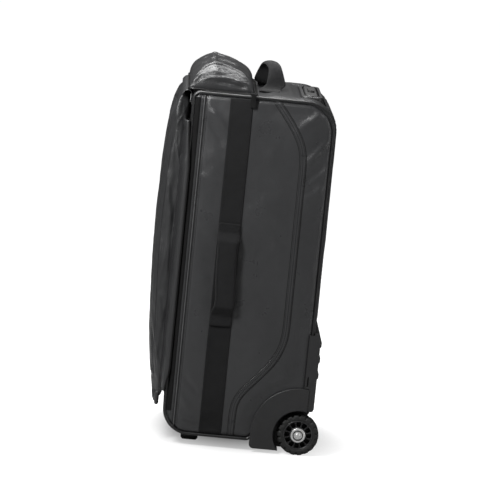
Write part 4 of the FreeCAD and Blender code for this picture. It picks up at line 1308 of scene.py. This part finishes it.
# ---- top handle ----
def grab_handle():
    lo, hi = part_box("top_handle")
    mid_x = (lo.x + hi.x) / 2
    rise = hi.z - lo.z
    half = [(0.087, 0.0), (0.07, 0.0), (0.056, 0.0012), (0.047, 0.01), (0.042, 0.026), (0.0355, 0.041),
            (0.024, 0.0505), (0.01, 0.0545), (0.0, 0.0552)]
    path = [(-a, b) for a, b in half] + [(a, b) for a, b in reversed(half[:-1])]
    line = smoothed(resample(path, 0.0025, closed=False), 8)
    n = -sideways(line)
    height = np.clip(line[:, 1] / rise, 0, 1)
    taper = 1 - 0.12 * smooth01(height / 0.1) - 0.26 * smooth01((height - 0.08) / 0.75)
    width = (hi.x - lo.x) / 2 * taper
    skew = -0.26 * line[:, 0] * smooth01(height / 0.25)
    sides = 20
    verts = []
    for i, (y, z) in enumerate(line):
        thick = 0.0017 + 0.0011 * smooth01(height[i] / 0.5)
        curl = 0.005 * smooth01((height[i] - 0.2) / 0.6)
        for a in turns(sides):
            u = power(math.cos(a), 0.4)
            off = power(math.sin(a), 0.6) * thick - curl * u * u
            verts.append((mid_x + skew[i] + u * width[i], y + n[i, 0] * off,
                          lo.z + 0.0019 + z + n[i, 1] * off))
    faces = grid_faces(len(line), sides, close_cols=True, flip=True) + end_caps(len(line), sides)
    obj = add_object("grab_handle", verts, faces, webbing_grip, "bag")
    modifier(obj, "SUBSURF", levels=1, render_levels=1)
    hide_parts("top_handle")
    for s in (-1, 1):
        x0, x1 = lo.x + 0.004, hi.x - 0.004
        y0, y1 = s * 0.0655, s * 0.0845
        z = lo.z + 0.0039
        corners = [(x0, y0, z), (x1, y0, z), (x1, y1, z), (x0, y1, z), (x0, y0, z)]
        for run in (corners, [corners[0], corners[2]], [corners[1], corners[3]]):
            stitch(resample(run, 0.002, closed=False), (0, 0, 1), 0.003)
    sew("grab_handle_stitches")


lid_trim(padded_lid())
hinge_flap()
lid_tab_piece()
end_pocket()
pocket_trim()
grab_handle()


# ---- wheels ----
WHEEL_MID = (wheel_lo.y + wheel_hi.y) / 2
LUGS = 18
SPOKES = 12
TYRE_HALF = [
    (0.0296, 0.0134), (0.0312, 0.0146), (0.034, 0.0152), (0.0372, 0.0154), (0.0398, 0.0148),
    (0.0414, 0.0132), (0.0422, 0.0108), (0.0425, 0.007), (0.0425, 0.0),
]
RIM_RING = [
    (0.0276, -0.013), (0.0302, -0.0132), (0.0302, 0.0134), (0.0296, 0.0143), (0.0284, 0.0143),
    (0.0276, 0.0136),
]
RIM_RECESS = [(0.0045, 0.002), (0.0282, 0.002), (0.0282, 0.0046), (0.0045, 0.0046)]
RIM_HUB = [
    (0.0045, 0.0), (0.0158, 0.0), (0.017, 0.0122), (0.0162, 0.0134), (0.015, 0.0134),
    (0.0148, 0.01), (0.0045, 0.01),
]
# each spoke: a stem and two arms, as turn, inner and outer radius, inner and outer half width
SPOKE_BARS = [
    (0.0, 0.015, 0.0236, 0.001, 0.0007), (0.3, 0.0222, 0.0292, 0.0007, 0.0008),
    (-0.3, 0.0222, 0.0292, 0.0007, 0.0008),
]
SPOKE_OUTLINE = [0, 1, 2, 5, 4, 3]
# Near-black look that paints the shade inside the wheel's windows and in the hub cap's groove.
recess_shade_mat = moulded_plastic("rim_recess_shade_look", (0.0016, 0.0016, 0.0016), 0.8, 0.00002)
spoke_mat = moulded_plastic("spoke_look", (0.02, 0.02, 0.0205), 0.34, 0.00003)


def lathe(name, profile, count, material, side, s, shape=None):
    """A closed profile of (radius, offset from the wheel's middle) turned about the axle."""
    verts = []
    for a in turns(count):
        for r, w in profile:
            if shape:
                r, w = shape(a, r, w)
            verts.append((AXLE_X + r * math.cos(a), s * (WHEEL_MID + w), AXLE_Z + r * math.sin(a)))
    faces = grid_faces(count, len(profile), close_rows=True, close_cols=True, flip=s < 0)
    return add_object(name + "_" + side, verts, faces, material, "wheel_" + side)


def tread(a, r, w):
    """Block lugs cut into both shoulders, staggered from one side to the other."""
    turn = a * LUGS / (2 * math.pi) + (0.5 if w < 0 else 0.0)
    t = abs(turn % 1.0 - 0.5) * 2
    notch = float(smooth01((0.4 - t) / 0.12))
    shoulder = float(smooth01((abs(w) - 0.0055) / 0.002) * smooth01((r - 0.0352) / 0.0022))
    groove = float(np.exp(-(w / 0.0011) ** 2)) * (1 if r > 0.041 else 0)
    r = r - 0.0026 * notch * shoulder - 0.0012 * groove
    return r, w - math.copysign(0.0013, w) * notch * shoulder * (1 if abs(w) > 0.011 else 0)


def detailed_wheel(s, side):
    loop = TYRE_HALF + [(r, -w) for r, w in reversed(TYRE_HALF[:-1])]
    tyre = lathe("treaded_tyre", resample(loop, 0.0008).tolist(), 288, rubber, side, s, tread)
    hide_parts("tyre_" + side)
    rim = lathe("rim_ring", RIM_RING, 120, spoke_mat, side, s)
    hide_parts("wheel_rim_" + side)
    # A near-black disc behind the spokes paints the shade seen through the windows.
    lathe("rim_recess", RIM_RECESS, 96, recess_shade_mat, side, s)
    lathe("rim_hub", RIM_HUB, 96, spoke_mat, side, s)
    verts, faces = [], []
    for i in range(SPOKES):
        a = 2 * math.pi * (i + 0.5) / SPOKES
        c, n = math.cos(a), math.sin(a)
        for turn, r0, r1, w0, w1 in SPOKE_BARS:
            base = len(verts)
            for r, w in ((r0, w0), (r1, w1)):
                across = (r - r0) * math.tan(turn)
                for e in (-1, 1):
                    for deep in (0.004, 0.0118, 0.0128):
                        u = across + e * w * (0.7 if deep > 0.012 else 1.0)
                        verts.append((AXLE_X + r * c - u * n, s * (WHEEL_MID + deep),
                                      AXLE_Z + r * n + u * c))
            near = [base + k for k in SPOKE_OUTLINE]
            faces += [(p, q, q + 6, p + 6) for p, q in zip(near, near[1:])]
            faces += [tuple(near), tuple(p + 6 for p in reversed(near))]
    spokes = add_object("rim_spokes_" + side, verts, faces, spoke_mat, "wheel_" + side, smooth=False)
    recalc_normals(spokes)
    cap_lo, cap_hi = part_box("hub_cap_" + side)
    face = (abs(cap_lo.y) if s < 0 else cap_hi.y) - WHEEL_MID
    low, high = face - 0.0006, face + 0.00025
    groove = [(0.0086, low), (0.0106, low), (0.0106, high), (0.0086, high)]
    # The groove's near-black look paints its shade.
    lathe("cap_groove", groove, 72, recess_shade_mat, side, s)
    dome = [(0.0, low), (0.0052, low), (0.0052, face + 0.0004), (0.0044, face + 0.001),
            (0.002, face + 0.0013), (0.0, face + 0.0013)]
    lathe("cap_button", dome, 48, cap_mat, side, s)


for s, side in SIDES:
    detailed_wheel(s, side)


# ---- studio ----
def studio():
    scene = bpy.context.scene
    scene.view_settings.view_transform = "Standard"
    world = bpy.data.worlds.new("studio")
    world.use_nodes = True
    tree = world.node_tree
    ambient = tree.nodes["Background"]
    ambient.inputs["Color"].default_value = (1.0, 1.0, 1.0, 1)
    ambient.inputs["Strength"].default_value = 0.085
    backdrop = tree.nodes.new("ShaderNodeBackground")
    backdrop.inputs["Color"].default_value = (1.0, 1.0, 1.0, 1)
    backdrop.inputs["Strength"].default_value = 1.05
    rays = tree.nodes.new("ShaderNodeLightPath")
    mix = tree.nodes.new("ShaderNodeMixShader")
    tree.links.new(rays.outputs["Is Camera Ray"], mix.inputs[0])
    tree.links.new(ambient.outputs[0], mix.inputs[1])
    tree.links.new(backdrop.outputs[0], mix.inputs[2])
    tree.links.new(mix.outputs[0], tree.nodes["World Output"].inputs["Surface"])
    scene.world = world

    floor = Look("floor_look", (0.34, 0.34, 0.34), 0.9)
    floor.tint(floor.noise(3.0, 2.0), 0.99, 1.0)
    reach = floor.node("VectorMath", operation="LENGTH")
    floor.link(floor.coords(), reach.inputs[0])
    # The floor's camera-only glow fades towards the bag, painting a soft grey shade round its base;
    # further out it gives an evenly white floor.
    glow_and_painted_shade = floor.node("MapRange")
    glow_and_painted_shade.inputs["From Min"].default_value = 0.02
    glow_and_painted_shade.inputs["From Max"].default_value = 0.3
    glow_and_painted_shade.inputs["To Max"].default_value = 1.0
    floor.link(reach.outputs["Value"], glow_and_painted_shade.inputs["Value"])
    floor.shader.inputs["Emission Color"].default_value = (1, 1, 1, 1)
    seen = floor.node("LightPath").outputs["Is Camera Ray"]
    shown = floor.mix_value("MULTIPLY", glow_and_painted_shade.outputs["Result"], seen)
    floor.link(shown, floor.shader.inputs["Emission Strength"])
    size = 14.0
    corners = [(-size, -size, 0), (size, -size, 0), (size, size, 0), (-size, size, 0)]
    mesh = bpy.data.meshes.new("floor")
    mesh.from_pydata(corners, [], [(0, 1, 2, 3)])
    mesh.materials.append(floor.mat)
    plane = bpy.data.objects.new("floor", mesh)
    scene.collection.objects.link(plane)

    def area(name, place, aim, width, height, watts):
        light = bpy.data.lights.new(name, "AREA")
        light.shape = "RECTANGLE"
        light.size = width
        light.size_y = height
        light.energy = watts
        obj = bpy.data.objects.new(name, light)
        obj.location = place
        obj.rotation_mode = "QUATERNION"
        obj.rotation_quaternion = (Vector(aim) - Vector(place)).to_track_quat("-Z", "Y")
        scene.collection.objects.link(obj)

    area("key", (-0.76, -0.95, 1.38), (-0.06, -0.17, 0.58), 0.26, 0.6, 35)
    area("top", (-0.4, 0.6, 2.5), (0, 0, 0.6), 1.5, 0.9, 82)
    area("side", (2.5, -1.5, 1.2), (0, 0, 0.4), 0.4, 1.8, 22)


CAMERA_TURN = -2.0              # degrees; below zero the camera stands towards the lid
CAMERA_PITCH = 9.0
CAMERA_ROLL = 5.7
CAMERA_DISTANCE = 6.0
CAMERA_SCALE = 0.00202          # metres per pixel on the near side panel
PHOTO_WIDTH = 500               # pixels
SENSOR = 36.0                   # millimetres
AIM = Vector((0.0078, -HALF_Y, 0.4149))


def camera():
    data = bpy.data.cameras.new("camera")
    data.sensor_width = SENSOR
    data.lens = SENSOR * CAMERA_DISTANCE / CAMERA_SCALE / PHOTO_WIDTH
    data.clip_end = 100
    obj = bpy.data.objects.new("camera", data)
    a = math.radians(CAMERA_TURN)
    e = math.radians(CAMERA_PITCH)
    back = Vector((math.sin(a) * math.cos(e), -math.cos(a) * math.cos(e), math.sin(e)))
    obj.location = AIM + back * CAMERA_DISTANCE
    obj.rotation_mode = "QUATERNION"
    roll = Quaternion((0, 0, 1), math.radians(CAMERA_ROLL))
    obj.rotation_quaternion = (-back).to_track_quat("-Z", "Y") @ roll
    bpy.context.scene.collection.objects.link(obj)
    bpy.context.scene.camera = obj


studio()
camera()
